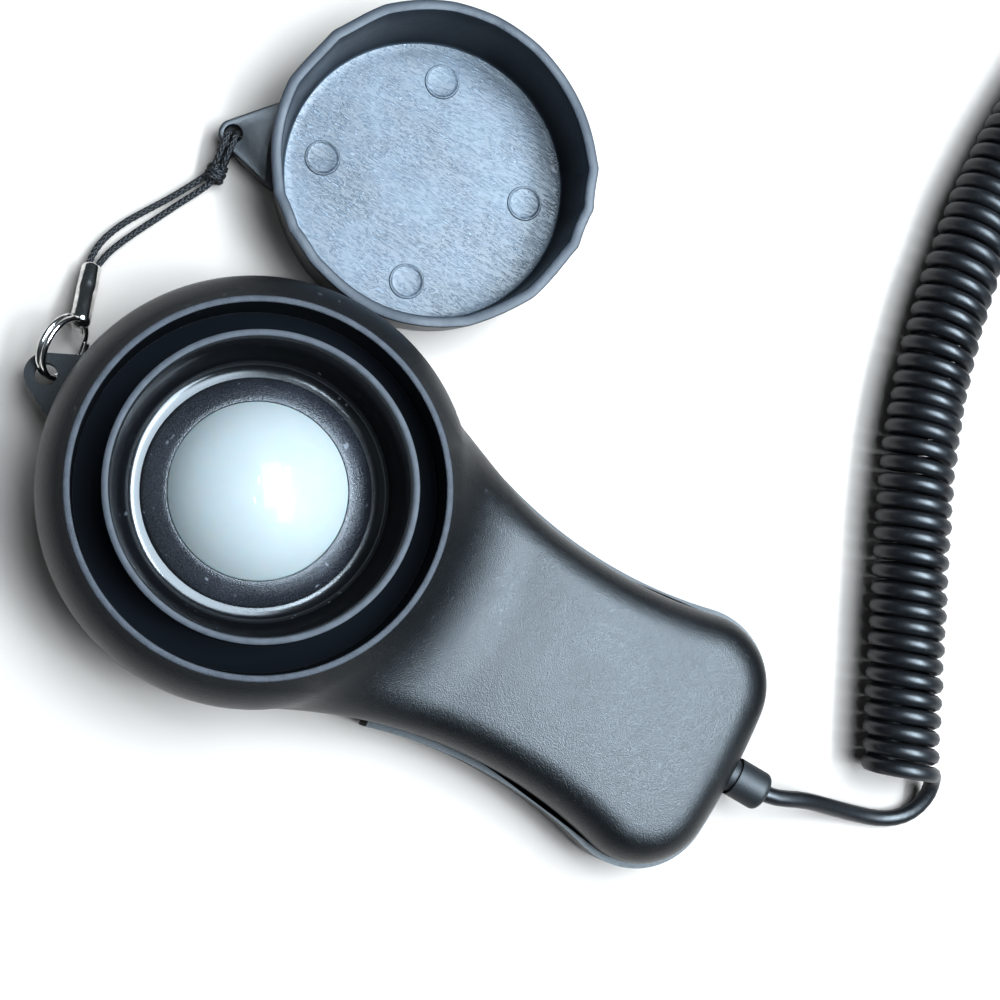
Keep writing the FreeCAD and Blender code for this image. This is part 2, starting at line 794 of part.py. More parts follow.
def screw_set(label, places, seat_level, shank, head, head_height, length, upward):
    """Equal screws in one node: a pan head on its seat and a shank away from it."""
    side = 1.0 if upward else -1.0
    shapes = []
    for x, y in places:
        shaft = doc.addObject("Part::Cylinder", f"{label}_shank")
        shaft.setExpression("Radius", shank.text)
        shaft.setExpression("Height", length.text)
        place(shaft, x, y, seat_level if upward else seat_level - length)
        cap = doc.addObject("Part::Cylinder", f"{label}_head")
        cap.setExpression("Radius", head.text)
        cap.setExpression("Height", head_height.text)
        place(cap, x, y, seat_level - head_height if upward else seat_level)
        slot_level = seat_level - head_height if upward else seat_level + head_height * SLOT_DEPTH
        slots = []
        for length_x, length_y in ((SLOT_LENGTH, SLOT_WIDTH), (SLOT_WIDTH, SLOT_LENGTH)):
            slot = doc.addObject("Part::Box", f"{label}_slot")
            slot.setExpression("Length", (head * length_x).text)
            slot.setExpression("Width", (head * length_y).text)
            slot.setExpression("Height", (head_height * SLOT_DEPTH).text)
            place(slot, x - head * (length_x / 2), y - head * (length_y / 2), slot_level)
            slots.append(slot)
        blank = doc.addObject("Part::MultiFuse", f"{label}_blank")
        blank.Shapes = [shaft, cap]
        cross = doc.addObject("Part::MultiFuse", f"{label}_cross")
        cross.Shapes = slots
        screw = doc.addObject("Part::Cut", f"{label}_screw")
        screw.Base, screw.Tool = blank, cross
        shapes.append(screw)
    group = doc.addObject("Part::Compound", label)
    group.Links = shapes
    NODES.append(label)
    return group


shell_screw_length = S.screw_tip_level - S.screw_well_depth
screw_set("housing_screws", HEAD_BOSSES, S.screw_well_depth, S.screw_shank, S.screw_head,
          S.screw_head_height, shell_screw_length, True)
screw_set("cover_screws", COVER_BOSSES, S.screw_well_depth, S.screw_shank, S.screw_head,
          S.screw_head_height, shell_screw_length, True)
screw_set("board_screws", BOARD_POSTS, board_top, S.board_screw_shank, S.board_screw_head,
          S.board_screw_head_height, S.board_screw_length, False)
screw_set("clamp_screws", CLAMP_SCREWS, S.clamp_top, S.board_screw_shank, S.board_screw_head,
          S.board_screw_head_height, S.clamp_top - S.floor_wall * 2, False)

# ---------------------------------------------------------------- cable clamp and gland

clamp = body("cord_clamp")
clamp_side = sketch(clamp, "clamp_side", "YZ_Plane", S.clamp_place - half_clamp)
notch_half = S.lead_radius + S.fit_gap
notch_top = S.parting_level + S.lead_radius + S.fit_gap
outline(clamp_side, [
    (-half_width, S.saddle_level), (-notch_half, S.saddle_level), (-notch_half, notch_top),
    (notch_half, notch_top), (notch_half, S.saddle_level), (half_width, S.saddle_level),
    (half_width, S.clamp_top), (-half_width, S.clamp_top),
])
grow(clamp, "Pad", clamp_side, S.clamp_length)
clamp_holes = sketch(clamp, "clamp_holes", "XY_Plane", S.saddle_level)
rings(clamp_holes, spots(CLAMP_SCREWS, S.board_screw_shank + S.fit_gap))
grow(clamp, "Pocket", clamp_holes, S.clamp_top - S.saddle_level, reverse=True)

ALONG_X = Rotation(Vector(0, 1, 0), 90)
wall_inside = S.end_place - S.wall
flange_start = -(S.gland_flange_thickness + S.fit_gap)
cover_face = S.wall + S.cover_step + S.fit_gap
nose_end = cover_face + S.gland_nose_length
gland = turned("cable_gland", [
    (S.gland_bore, flange_start), (S.gland_flange, flange_start), (S.gland_flange, -S.fit_gap),
    (S.gland_neck, -S.fit_gap), (S.gland_neck, cover_face), (S.gland_nose, cover_face),
    (S.gland_nose, nose_end - S.gland_nose_round, S.gland_nose_round),
    (S.gland_nose - S.gland_nose_round, nose_end), (S.gland_bore, nose_end),
])
place(gland, wall_inside, ZERO, S.parting_level, ALONG_X)

# ---------------------------------------------------------------- lead


def rounded_path(points):
    """Straight runs joined by tangent arcs, each as large as its two runs allow."""
    edges, radii = [], []
    start = points[0]
    for before, corner, after in zip(points, points[1:], points[2:]):
        arrive, leave = corner - before, after - corner
        turn = arrive.getAngle(leave)
        cut = ARC_SHARE * min(arrive.Length, leave.Length)
        radius = cut / math.tan(turn / 2)
        radii.append(round(radius, 1))
        arrive, leave = arrive.normalize(), leave.normalize()
        touch, release = corner - arrive * cut, corner + leave * cut
        inward = (leave - arrive).normalize()
        middle = corner + inward * (radius / math.cos(turn / 2) - radius)
        edges.append(Part.LineSegment(start, touch).toShape())
        edges.append(Part.Arc(touch, middle, release).toShape())
        start = release
    edges.append(Part.LineSegment(start, points[-1]).toShape())
    return Part.Wire(edges), radii


def tube(label, points, radius):
    """A round cord along a route; its volume is compared with section times length."""
    path, radii = rounded_path([Vector(*point) for point in points])
    way = Vector(*points[1]) - Vector(*points[0])
    section = Part.Wire([Part.Circle(Vector(*points[0]), way, radius).toShape()])
    solid = path.makePipeShell([section], True, False)
    expected = math.pi * radius ** 2 * path.Length
    print(f"{label}: length {path.Length:.1f}, radii {radii}, volume ratio {solid.Volume / expected:.4f}")
    if abs(solid.Volume / expected - 1) > 0.01:
        raise RuntimeError(f"{label}: the tube's volume is not its section times its length")
    piece = doc.addObject("Part::Feature", label)
    piece.Shape = solid
    NODES.append(label)
    return piece


lead = S.lead_radius.value
axis_level = S.parting_level.value
nose_x = (wall_inside + nose_end).value
coil = S.coil_radius.value

# Routes past the gland are counted from its nose, so they follow the grip's length.
COIL_ROUTE = [(nose_x + x, y) for x, y in (
    (19.8, 11.2), (7.4, 37.0), (-4.4, 62.5), (-10.4, 88.5), (-12.4, 112.5), (-10.2, 136.0),
)]
NEAR_TAIL = [(S.lead_start.value, 0, axis_level)] + [(nose_x + x, y, z) for x, y, z in (
    (1.5, 0, axis_level), (6.4, 2.4, 7.3), (11.8, 3.8, 4.6), (17.0, 5.2, 2.3), (21.5, 6.6, 1.5),
    (24.9, 9.2, 1.7), (26.0, 13.2, 2.7), (24.6, 16.3, 4.2),
)]
FAR_TAIL = [(nose_x + x, y, z) for x, y, z in (
    (-10.8, 134.4, 1.4), (-4.8, 134.6, 1.4), (1.8, 132.9, 1.4), (7.8, 129.4, 1.4),
    (12.4, 124.2, 2.4), (15.1, 117.8, S.grip_radius.value), (16.6, 111.0, S.grip_radius.value),
)]

tube("cord_tail", NEAR_TAIL, lead)
tube("cord_coil", [(x, y, coil) for x, y in COIL_ROUTE], coil)
tube("cord_far_tail", FAR_TAIL, lead)

core = S.core_radius.value
for label, side in (("sensor_lead_red", 1), ("sensor_lead_black", -1)):
    run_y = side * S.core_offset.value
    pad_y = (S.header_y + S.header_pin_offset * side).value
    pad_x = (S.header_x + S.header_length / 2).value
    pad_z = (board_top + S.header_height / 2).value
    tube(label, [
        (pad_x, pad_y, pad_z), (pad_x + 5, pad_y, pad_z - 0.2), (pad_x + 12, (pad_y + run_y) / 2, axis_level),
        (pad_x + 24, run_y + 0.2, axis_level), (S.lead_start.value, run_y, axis_level),
    ], core)

# ---------------------------------------------------------------- jack plug

plug_end = Vector(*FAR_TAIL[-1])
plug_way = (plug_end - Vector(*FAR_TAIL[-2])).normalize()
plug_turn = Rotation(Vector(0, 0, 1), Vector(plug_way.x, plug_way.y, 0))
plug_origin = [Size(f"{value:.4f}", value) for value in (plug_end.x, plug_end.y, S.grip_radius.value)]
grip_start = S.boot_length
sleeve_start = grip_start + S.grip_length
insulator_start = sleeve_start + S.sleeve_length
tip_start = insulator_start + S.plug_insulator_length
tip_end = tip_start + S.plug_tip_length

boot = turned("plug_boot", [
    (ZERO, ZERO), (S.lead_radius + S.fit_gap * 3, ZERO), (S.boot_radius, S.boot_length),
    (ZERO, S.boot_length),
])
grip = turned("plug_grip", [
    (ZERO, grip_start), (S.grip_radius * GRIP_NECK, grip_start),
    (S.grip_radius, grip_start + S.grip_length * GRIP_NECK_LENGTH),
    (S.grip_radius, sleeve_start - S.wall), (S.grip_radius * GRIP_FACE, sleeve_start), (ZERO, sleeve_start),
])
sleeve = turned("plug_sleeve", [
    (ZERO, sleeve_start), (S.plug_radius, sleeve_start), (S.plug_radius, insulator_start),
    (ZERO, insulator_start),
])
insulator = turned("plug_insulator", [
    (ZERO, insulator_start), (S.plug_radius, insulator_start), (S.plug_radius, tip_start),
    (ZERO, tip_start),
])
tip_collar = tip_start + S.plug_tip_length * TIP_COLLAR
tip = turned("plug_tip", [
    (ZERO, tip_start), (S.plug_radius, tip_start), (S.plug_radius * TIP_WAIST, tip_collar),
    (S.plug_radius * TIP_WIDE, tip_collar + S.plug_tip_length * TIP_SWELL),
    (S.plug_radius * TIP_POINT, tip_end),
    (ZERO, tip_end),
])
for piece in (boot, grip, sleeve, insulator, tip):
    place(piece, *plug_origin, plug_turn)

# ---------------------------------------------------------------- dust cap

CAP_TURN = Rotation(Vector(0, 0, 1), SIZES["cap_turn"])
cap = body("dust_cap")
cap_side = sketch(cap, "cap_side", "XZ_Plane")
outline(cap_side, [
    (ZERO, ZERO), (S.cap_base_radius - S.cap_base_round, ZERO, S.cap_base_round),
    (S.cap_base_radius, S.cap_base_round), (S.cap_rim_radius, S.cap_height),
    (S.cap_rim_radius - S.cap_wall, S.cap_height), (S.cap_base_radius - S.cap_wall, S.cap_floor),
    (ZERO, S.cap_floor),
])
spin(cap, "Revolution", cap_side)
cap_ear = sketch(cap, "cap_ear", "XY_Plane", S.ear_level)
ear(cap_ear, S.ear_place, S.ear_tip, S.ear_root_place, S.ear_root_half)
grow(cap, "Pad", cap_ear, S.ear_thickness)
cap_clear = sketch(cap, "cap_inside", "XY_Plane", S.cap_floor)
rings(cap_clear, [(ZERO, ZERO, S.cap_base_radius - S.cap_wall)])
grow(cap, "Pocket", cap_clear, S.cap_height, reverse=True)
ear_bore = sketch(cap, "ear_bore", "XY_Plane", S.ear_level)
rings(ear_bore, [(-S.ear_place, ZERO, S.ear_hole)])
grow(cap, "Pocket", ear_bore, S.ear_thickness, reverse=True)
ejectors = sketch(cap, "ejector_marks", "XY_Plane", S.cap_floor)
rings(ejectors, [(S.ejector_circle, ZERO, S.ejector_radius)])
mark = grow(cap, "Pad", ejectors, S.ejector_height)
marks = cap.newObject("PartDesign::PolarPattern", "ejector_pattern")
marks.Originals = [mark]
marks.Axis = (ejectors, ["N_Axis"])
marks.Angle = 360.0
marks.Occurrences = 4
cap.Tip = marks
place(cap, S.cap_x, cap_y, ZERO, CAP_TURN)

# ---------------------------------------------------------------- tether

lug_middle = S.lug_level + S.lug_thickness / 2
ring = doc.addObject("Part::Torus", "split_ring")
NODES.append("split_ring")
ring.setExpression("Radius1", S.ring_radius.text)
ring.setExpression("Radius2", S.ring_wire.text)
place(ring, -lug_place, S.ring_radius, lug_middle, Rotation(Vector(0, 1, 0), 90 - SIZES["ring_lean"]))

eye_at = Vector(-lug_place.value, 2 * S.ring_radius.value, lug_middle.value)
CRIMP_LAY = Vector(-3.0, 8.0, -3.5)
crimp_way = Vector(CRIMP_LAY).normalize()
lean = math.radians(SIZES["ring_lean"])
wire_way = Vector(-math.sin(lean), 0, math.cos(lean))
eye = Part.makeTorus(S.eye_radius.value, S.eye_wire.value, eye_at, wire_way)
barrel_at = eye_at + crimp_way * S.crimp_start.value
barrel = Part.makeCylinder(S.crimp_radius.value, S.crimp_length.value, barrel_at, crimp_way)
crimp = doc.addObject("Part::Feature", "strap_crimp")
crimp.Shape = eye.fuse(barrel)
NODES.append("strap_crimp")
strap_at = barrel_at + crimp_way * S.crimp_length.value

ear_spot = CAP_TURN.multVec(Vector(-S.ear_place.value, 0, 0)) + Vector(S.cap_x.value, cap_y.value, 0)
ear_middle = (S.ear_level + S.ear_thickness / 2).value
knot_way = Vector(math.cos(math.radians(KNOT_TURN)), math.sin(math.radians(KNOT_TURN)), 0)
knot_at = ear_spot + knot_way * S.knot_place.value + Vector(0, 0, S.knot_level.value)
loop = doc.addObject("Part::Torus", "lanyard_loop")
NODES.append("lanyard_loop")
loop.setExpression("Radius1", S.loop_radius.text)
loop.setExpression("Radius2", S.strand_radius.text)
loop_at = ear_spot + knot_way * S.loop_radius.value + Vector(0, 0, ear_middle)
loop_side = Vector(-knot_way.y, knot_way.x, 0)
loop.Placement = FreeCAD.Placement(loop_at, Rotation(Vector(0, 0, 1), loop_side))

knot = doc.addObject("Part::Sphere", "lanyard_knot")
NODES.append("lanyard_knot")
knot.setExpression("Radius", S.knot_radius.text)
knot.Placement = FreeCAD.Placement(knot_at, Rotation())

strand = S.strand_radius.value
across = Vector(crimp_way.y, -crimp_way.x, 0).normalize() * S.strand_offset.value
to_strap = Vector(-2.405, -3.843, -0.8).normalize()
knot_side = Vector(to_strap.y, -to_strap.x, 0).normalize() * S.strand_offset.value
meet = knot_at + to_strap * (S.knot_radius.value + S.fit_gap.value * 3)
# Share of the way to the knot, sideways bow and level of each point of a strand.
OUTER_BOW = [(0.151, 2.09, 1.3), (0.34, 2.3, 1.1), (0.542, 1.76, 1.1), (0.748, 0.93, 1.3)]
INNER_BOW = [(0.171, 0.32, 1.3), (0.373, 0.32, 1.1), (0.583, -0.07, 1.1), (0.761, -0.46, 1.3)]
lay_way = Vector(meet.x - strap_at.x, meet.y - strap_at.y, 0)
lay_side = Vector(-lay_way.y, lay_way.x, 0).normalize()


def strand_route(side, bow):
    """A strand from the crimp to the knot, bowed off the straight way between them."""
    route = [tuple(strap_at + across * side)]
    for share, aside, level in bow:
        point = strap_at + lay_way * share + lay_side * aside
        route.append((point.x, point.y, level))
    return [*route, tuple(meet - knot_side * side)]


tube("lanyard_strand_outer", strand_route(-1, OUTER_BOW), strand)
tube("lanyard_strand_inner", strand_route(1, INNER_BOW), strand)

# ---------------------------------------------------------------- check and write

doc.recompute()
for item in doc.Objects:
    if any(word in ("Invalid", "Error") for word in item.State):
        raise RuntimeError(f"{item.Name}: {item.State}")
for node in NODES:
    piece = doc.getObject(node)
    piece.Label = node
    if piece.Shape.isNull() or not piece.Shape.isValid():
        raise RuntimeError(f"{node}: no valid shape")
for node in NODES:
    shape = doc.getObject(node).Shape
    shape.exportStep(f"parts/{node}.step")
    box = shape.BoundBox
    print(f"{node}: {len(shape.Solids)} solids, {shape.Volume:.1f} mm3, "
          f"x {box.XMin:.1f}..{box.XMax:.1f} y {box.YMin:.1f}..{box.YMax:.1f} z {box.ZMin:.2f}..{box.ZMax:.2f}")
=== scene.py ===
# %% [markdown]
# A light meter's sensor head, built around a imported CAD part.
# The head is a round housing with an opal dome in a glossy well, a waisted grip, a curly lead
# and a dust cap on a short braided strap. The CAD part fixes every size and joint. Blender adds
# what CAD leaves plain: smooth moulded shapes, braid, wire, wear and finish.
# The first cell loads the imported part. Its nodes stay where they are, and new pieces join them.

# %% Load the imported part
import json
import math

import bmesh
import bpy
import numpy as np
from mathutils import Matrix, Vector, geometry


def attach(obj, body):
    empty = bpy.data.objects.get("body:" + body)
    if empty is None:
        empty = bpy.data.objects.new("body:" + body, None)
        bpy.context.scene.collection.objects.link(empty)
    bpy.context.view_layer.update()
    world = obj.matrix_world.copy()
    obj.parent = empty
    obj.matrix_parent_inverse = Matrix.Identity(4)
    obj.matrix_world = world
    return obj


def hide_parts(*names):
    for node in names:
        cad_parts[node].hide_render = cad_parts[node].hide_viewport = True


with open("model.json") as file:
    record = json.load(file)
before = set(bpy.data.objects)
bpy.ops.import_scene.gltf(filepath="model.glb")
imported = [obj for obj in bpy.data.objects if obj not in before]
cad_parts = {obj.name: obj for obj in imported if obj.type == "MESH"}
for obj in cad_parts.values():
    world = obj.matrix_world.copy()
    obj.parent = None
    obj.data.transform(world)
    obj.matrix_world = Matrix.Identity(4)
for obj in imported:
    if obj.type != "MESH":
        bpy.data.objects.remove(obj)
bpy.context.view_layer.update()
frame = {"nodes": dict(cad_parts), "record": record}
nodes = frame["nodes"]
MM = 0.001

# %% [markdown]
# The camera looks almost straight down from a quarter of a metre, turned so that the grip runs
# to the lower right. A camera's own axes are right, up and backwards, and they are the columns
# of its rotation. The numbers are a measured view, so they are written as they are.

# %% Camera
RIGHT = Vector((0.84863, 0.48618, 0.20846))
DOWN = Vector((0.50953, -0.85716, -0.07517))
AHEAD = Vector((0.14214, 0.17001, -0.97514))
EYE = Vector((-6.385, -27.033, 263.97)) * MM
LENS_MM, SENSOR_MM, NEAREST = 64.8, 36, 0.01

bpy.ops.object.select_all(action="DESELECT")
bpy.ops.object.camera_add()
camera = bpy.context.object
camera.data.lens = LENS_MM
camera.data.sensor_width = SENSOR_MM
camera.data.clip_start = NEAREST
camera.matrix_world = Matrix.Translation(EYE) @ Matrix((RIGHT, -DOWN, -AHEAD)).transposed().to_4x4()
bpy.context.scene.camera = camera
print("camera lens", camera.data.lens, "mm, height", round(EYE.z, 3), "m")

# %% [markdown]
# The head lies on a plain pale table.

# %% Table
TABLE_WIDTH, TABLE_MIDDLE = 3, (0.04, 0.05, 0)
bpy.ops.mesh.primitive_plane_add(size=TABLE_WIDTH, location=TABLE_MIDDLE)
table = bpy.context.object
table.name = "table_top"

# %% [markdown]
# A photographer lights black plastic with soft boxes, because black shows only what it
# reflects. A long thin box puts a streak on the dome, a wide one gives the grip and the cap's
# floor their sheen, and a third lights the waist. Two small strips draw the edges, and a weak
# fill opens the shadows. The room is dim and slightly blue, so that the flanks stay dark.

# %% Lights
FOCUS = Vector((0.03, 0.03, 0.01))
DAYLIGHT = (0.74, 0.88, 1.0)
ACROSS_GRIP = (0.51, -0.86, 0)


def soft_box(name, place, width, length, watts, along):
    """An area light that faces the object, with its long side turned along a given way."""
    bpy.ops.object.light_add(type="AREA", location=place)
    light = bpy.context.object
    light.name = name
    light.data.shape = "RECTANGLE"
    light.data.size, light.data.size_y = width, length
    light.data.energy = watts
    light.data.color = DAYLIGHT
    back = (Vector(place) - FOCUS).normalized()
    side = Vector(along).cross(back).normalized()
    light.rotation_euler = Matrix((side, back.cross(side), back)).transposed().to_euler()


SOFT_BOXES = [  # name, place, width, length, watts, way of the long side
    ("long_window", (0.30, 0.27, 0.66), 0.08, 0.55, 10, (0.42, -0.90, 0)),
    ("sheen_box", (0.125, 0.165, 0.66), 0.28, 0.62, 10.5, (0.555, -0.83, 0)),
    ("waist_box", (0.42, -0.02, 0.58), 0.20, 0.30, 5, ACROSS_GRIP),
    ("left_strip", (-0.08, 0.16, 0.80), 0.03, 0.10, 0.9, ACROSS_GRIP),
    ("small_strip", (0.02, -0.14, 0.80), 0.02, 0.09, 0.7, ACROSS_GRIP),
    ("table_fill", (-0.75, -0.50, 1.15), 0.9, 0.9, 0.6, ACROSS_GRIP),
]
for box in SOFT_BOXES:
    soft_box(*box)
ROOM_LIGHT, VIEW_GAMMA = 0.08, 0.85
world = bpy.data.worlds.new("room")
bpy.context.scene.world = world
world.use_nodes = True
world.node_tree.nodes["Background"].inputs["Color"].default_value = (*DAYLIGHT, 1)
world.node_tree.nodes["Background"].inputs["Strength"].default_value = ROOM_LIGHT
bpy.context.scene.view_settings.view_transform = "Standard"
bpy.context.scene.view_settings.gamma = VIEW_GAMMA

# %% [markdown]
# A finish is a small web of nodes in front of one shader. Writing the sums as Python keeps them
# readable, so Value wraps a socket and turns + - * / into Math nodes. Finish makes any other
# node: its settings are set first, then its inputs get numbers or links.

# %% Values
class Value:
    """A socket that adds and multiplies as a number does."""

    def __init__(self, finish, socket):
        self.finish = finish
        self.socket = socket

    def math(self, operation, *inputs):
        return self.finish.node("Math", {"operation": operation}, *inputs)

    def __add__(self, other):
        return self.math("ADD", self, other)

    def __sub__(self, other):
        return self.math("SUBTRACT", self, other)

    def __rsub__(self, other):
        return self.math("SUBTRACT", other, self)

    def __mul__(self, other):
        return self.math("MULTIPLY", self, other)

    def __truediv__(self, other):
        return self.math("DIVIDE", self, other)

    def __rtruediv__(self, other):
        return self.math("DIVIDE", other, self)

    __radd__ = __add__
    __rmul__ = __mul__


print("values ready")

# %% Finishes
class Finish:
    """A material with one shader, whose constants are set on its own sockets."""

    def __init__(self, name, colour, roughness, **fixed):
        self.material = bpy.data.materials.new(name)
        self.material.use_nodes = True
        self.tree = self.material.node_tree
        self.shader = self.tree.nodes["Principled BSDF"]
        self.material.diffuse_color = (*colour, 1)
        self.feed(Base_Color=(*colour, 1), Roughness=roughness, **fixed)

    def node(self, kind, settings=None, *values, out=0, **named):
        made = self.tree.nodes.new("ShaderNode" + kind)
        for key, setting in (settings or {}).items():
            setattr(made, key, setting)
        inputs = [*enumerate(values), *((key.replace("_", " "), value) for key, value in named.items())]
        for place, value in inputs:
            self.link(value, made.inputs[place])
        return Value(self, made.outputs[out])

    def link(self, value, socket):
        if isinstance(value, Value):
            self.tree.links.new(value.socket, socket)
        else:
            socket.default_value = value

    def feed(self, **sockets):
        for name, value in sockets.items():
            self.link(value, self.shader.inputs[name.replace("_", " ")])

    def place(self):
        return self.node("TexCoord", out=3)

    def noise(self, scale, detail=3.0, roughness=0.5, where=None):
        where = where or self.place()
        return self.node("TexNoise", {}, Vector=where, Scale=scale, Detail=detail, Roughness=roughness)

    def mix(self, factor, first, second):
        made = self.tree.nodes.new("ShaderNodeMix")
        made.data_type = "RGBA"
        for place, value in ((0, factor), (6, first), (7, second)):
            self.link(value, made.inputs[place])
        return Value(self, made.outputs[2])

    def band(self, value, low, high, to_low=0.0, to_high=1.0):
        """A value taken from one range to another, and held at its ends."""
        return self.node("MapRange", {"clamp": True}, value, low, high, to_low, to_high)

    def bump(self, height, depth):
        self.feed(Normal=self.node("Bump", {}, Strength=1.0, Distance=depth, Height=height))


print("finish maker ready")

# %% [markdown]
# Most of the head is injection-moulded ABS. Its mould was etched, so the skin has a grain of a
# few tenths of a millimetre that breaks up the shine, and handling leaves it a little uneven.
# moulded() makes all of these, from satin to nearly glossy, out of the same three layers: slow
# unevenness, grain and a few faint specks of dust. Two parts add a lip that is worn pale, and
# the front housing paints shade into its channel: the channel floor is given a dark matte
# diffuse in place of the satin shell.

# %% Moulded plastic
DUST, WORN_DARK, WORN_PALE = (0.30, 0.31, 0.33), (0.014, 0.016, 0.021), (0.038, 0.041, 0.050)
# The last colour here is the painted shade for the channel floor.
WORN_ROUGHNESS, CHANNEL_SHADE_BLACK = 0.62, (0.0075, 0.009, 0.0115)


def moulded(name, colour, roughness, grain=2600, depth=0.00003, tone=0.35, uneven=0.10, dust=0.0, rim=None,
            channel=None, **fixed):
    """A mould-grained plastic. It is worn pale above the level rim. A channel, given as its
    outer radius and the level of its floor, gets painted shade on its floor. All three are in millimetres."""
    finish = Finish(name, colour, roughness, **fixed)
    slow = finish.noise(55, 4, 0.6)
    fine = finish.noise(grain, 2, 0.6)
    light = tuple(min(1.0, c * (1 + tone) + 0.001) for c in colour)
    dark = tuple(c * (1 - tone) for c in colour)
    shade = finish.band(slow, 0.3, 0.7) * 0.55 + finish.band(fine, 0.35, 0.68) * 0.45
    base = finish.mix(shade, (*dark, 1), (*light, 1))
    if dust:
        specks = finish.band(finish.noise(900, 1, 0.4), 0.71, 0.76)
        patches = finish.band(finish.noise(120, 2, 0.5), 0.45, 0.65)
        base = finish.mix(specks * patches * dust, base, (*DUST, 1))
    rough = finish.band(slow, 0.25, 0.75, roughness - uneven / 2, roughness + uneven / 2)
    rough = rough + (fine - 0.5) * uneven
    if rim:
        height = finish.node("SeparateXYZ", {}, finish.place(), out=2)
        worn = finish.band(height, (rim - 0.05) * MM, (rim + 0.03) * MM)
        wear = finish.band(finish.noise(600, 4, 0.65), 0.25, 0.75)
        base = finish.mix(worn, base, finish.mix(wear, (*WORN_DARK, 1), (*WORN_PALE, 1)))
        rough = rough * (1 - worn) + worn * WORN_ROUGHNESS
    finish.feed(Base_Color=base, Roughness=rough)
    finish.bump(fine + slow * 0.15, depth)
    if channel:
        # Painted shade: the channel floor below the lip turns to a dark matte diffuse.
        x, y, z = (finish.node("SeparateXYZ", {}, finish.place(), out=axis) for axis in range(3))
        reach = finish.node("Math", {"operation": "SQRT"}, x * x + y * y)
        inside = finish.band(reach, channel[0] * MM, (channel[0] - 0.1) * MM)
        channel_shade_mask = finish.band(z, (channel[1] + 0.6) * MM, (channel[1] + 0.3) * MM) * inside
        painted_channel_shade = finish.node("BsdfDiffuse", {}, Color=(*CHANNEL_SHADE_BLACK, 1))
        blend = finish.node("MixShader", {}, channel_shade_mask, Value(finish, finish.shader.outputs[0]), painted_channel_shade)
        finish.tree.links.new(blend.socket, finish.tree.nodes["Material Output"].inputs[0])
    return finish


MOULDINGS = [  # slot, material name, colour, roughness, what differs from the plain grain
    ("front_shell", "satin_black_shell", (0.0030, 0.0036, 0.0044), 0.32,
     dict(grain=5600, dust=0.08, depth=0.00008, rim=22.08, channel=(25.05, 14.6))),
    ("rear_shell", "rear_black_shell", (0.004, 0.005, 0.006), 0.48, dict(Specular_IOR_Level=0.25)),
    ("grip_shell", "cover_black", (0.004, 0.005, 0.006), 0.36, dict(depth=0.00002, Specular_IOR_Level=0.3)),
    ("bezel", "bowl_gloss_black", (0.004, 0.0045, 0.0055), 0.17,
     dict(grain=1500, depth=0.000002, tone=0.1, uneven=0.06, dust=0.2, rim=24.02)),
    ("lock_ring", "lock_ring_black", (0.007, 0.007, 0.008), 0.5, {}),
    ("holder", "holder_black", (0.007, 0.007, 0.007), 0.5, {}),
    ("clamp", "clamp_nylon", (0.01, 0.01, 0.01), 0.5, {}),
    ("header", "header_nylon", (0.62, 0.60, 0.52), 0.45, dict(tone=0.1)),
    ("label", "blank_label", (0.25, 0.26, 0.27), 0.45, dict(grain=900, tone=0.08, depth=0.00001)),
    ("board", "solder_mask", (0.01, 0.10, 0.04), 0.3, dict(grain=700, depth=0.00002)),
    ("diode", "diode_epoxy", (0.02, 0.02, 0.035), 0.12, dict(grain=700, depth=0.000004)),
    ("plug_body", "plug_grip_black", (0.007, 0.007, 0.008), 0.38, {}),
    ("plug_insulator", "plug_insulator_black", (0.005, 0.005, 0.005), 0.3, {}),
    ("gasket", "gasket_rubber", (0.01, 0.01, 0.01), 0.7, {}),
    ("gland_rubber", "gland_rubber", (0.010, 0.011, 0.012), 0.55, dict(grain=3200, depth=0.00002)),
    ("core_red", "core_red", (0.40, 0.02, 0.015), 0.45, dict(tone=0.1)),
    ("core_black", "core_black", (0.01, 0.01, 0.01), 0.45, {}),
    ("seat_ring", "seat_speckle", (0.016, 0.017, 0.021), 0.24,
     dict(grain=5200, depth=0.00009, tone=0.9, uneven=0.16, dust=0.6)),
    ("lead_jacket", "lead_jacket", (0.0055, 0.006, 0.0072), 0.40,
     dict(grain=1800, depth=0.00001, uneven=0.12, dust=0.05)),
    ("braid", "braid_black", (0.006, 0.006, 0.007), 0.55, dict(grain=5000, depth=0.00004, tone=0.6)),
]
FINISHES = {}
for slot_name, material_name, colour, roughness, settings in MOULDINGS:
    FINISHES[slot_name] = moulded(material_name, colour, roughness, **settings)
print(len(FINISHES), "moulded finishes")

# %% [markdown]
# The cap is softer and duller. Its floor was rubbed in the mould: short strokes cross at three
# angles, drawn lighter as painted glints where they catch the light. The floor's lighter bluish
# base with its cloudy patches is painted sheen, from the light above. Long thin noise, made by
# squeezing the pattern's coordinates, gives the strokes. The wall stays dark, and the rim's top
# is drawn paler and rougher.

# %% Cap plastic
cap_finish = Finish("cap_soft_black", (0.012, 0.014, 0.018), 0.42)
spot = cap_finish.place()
height = cap_finish.node("SeparateXYZ", {}, spot, out=2)
FLOOR_FADE, RIM_FADE = (0.0021, 0.0017), (0.0118, 0.0123)


def strokes(turn, low, high):
    """Short straight strokes at one angle."""
    turned = cap_finish.node("Mapping", {}, Vector=spot, Rotation=(0, 0, turn), Scale=(0.16, 1, 1))
    thin = cap_finish.noise(3600, 2, 0.6, where=turned)
    return cap_finish.band(thin, low, high)


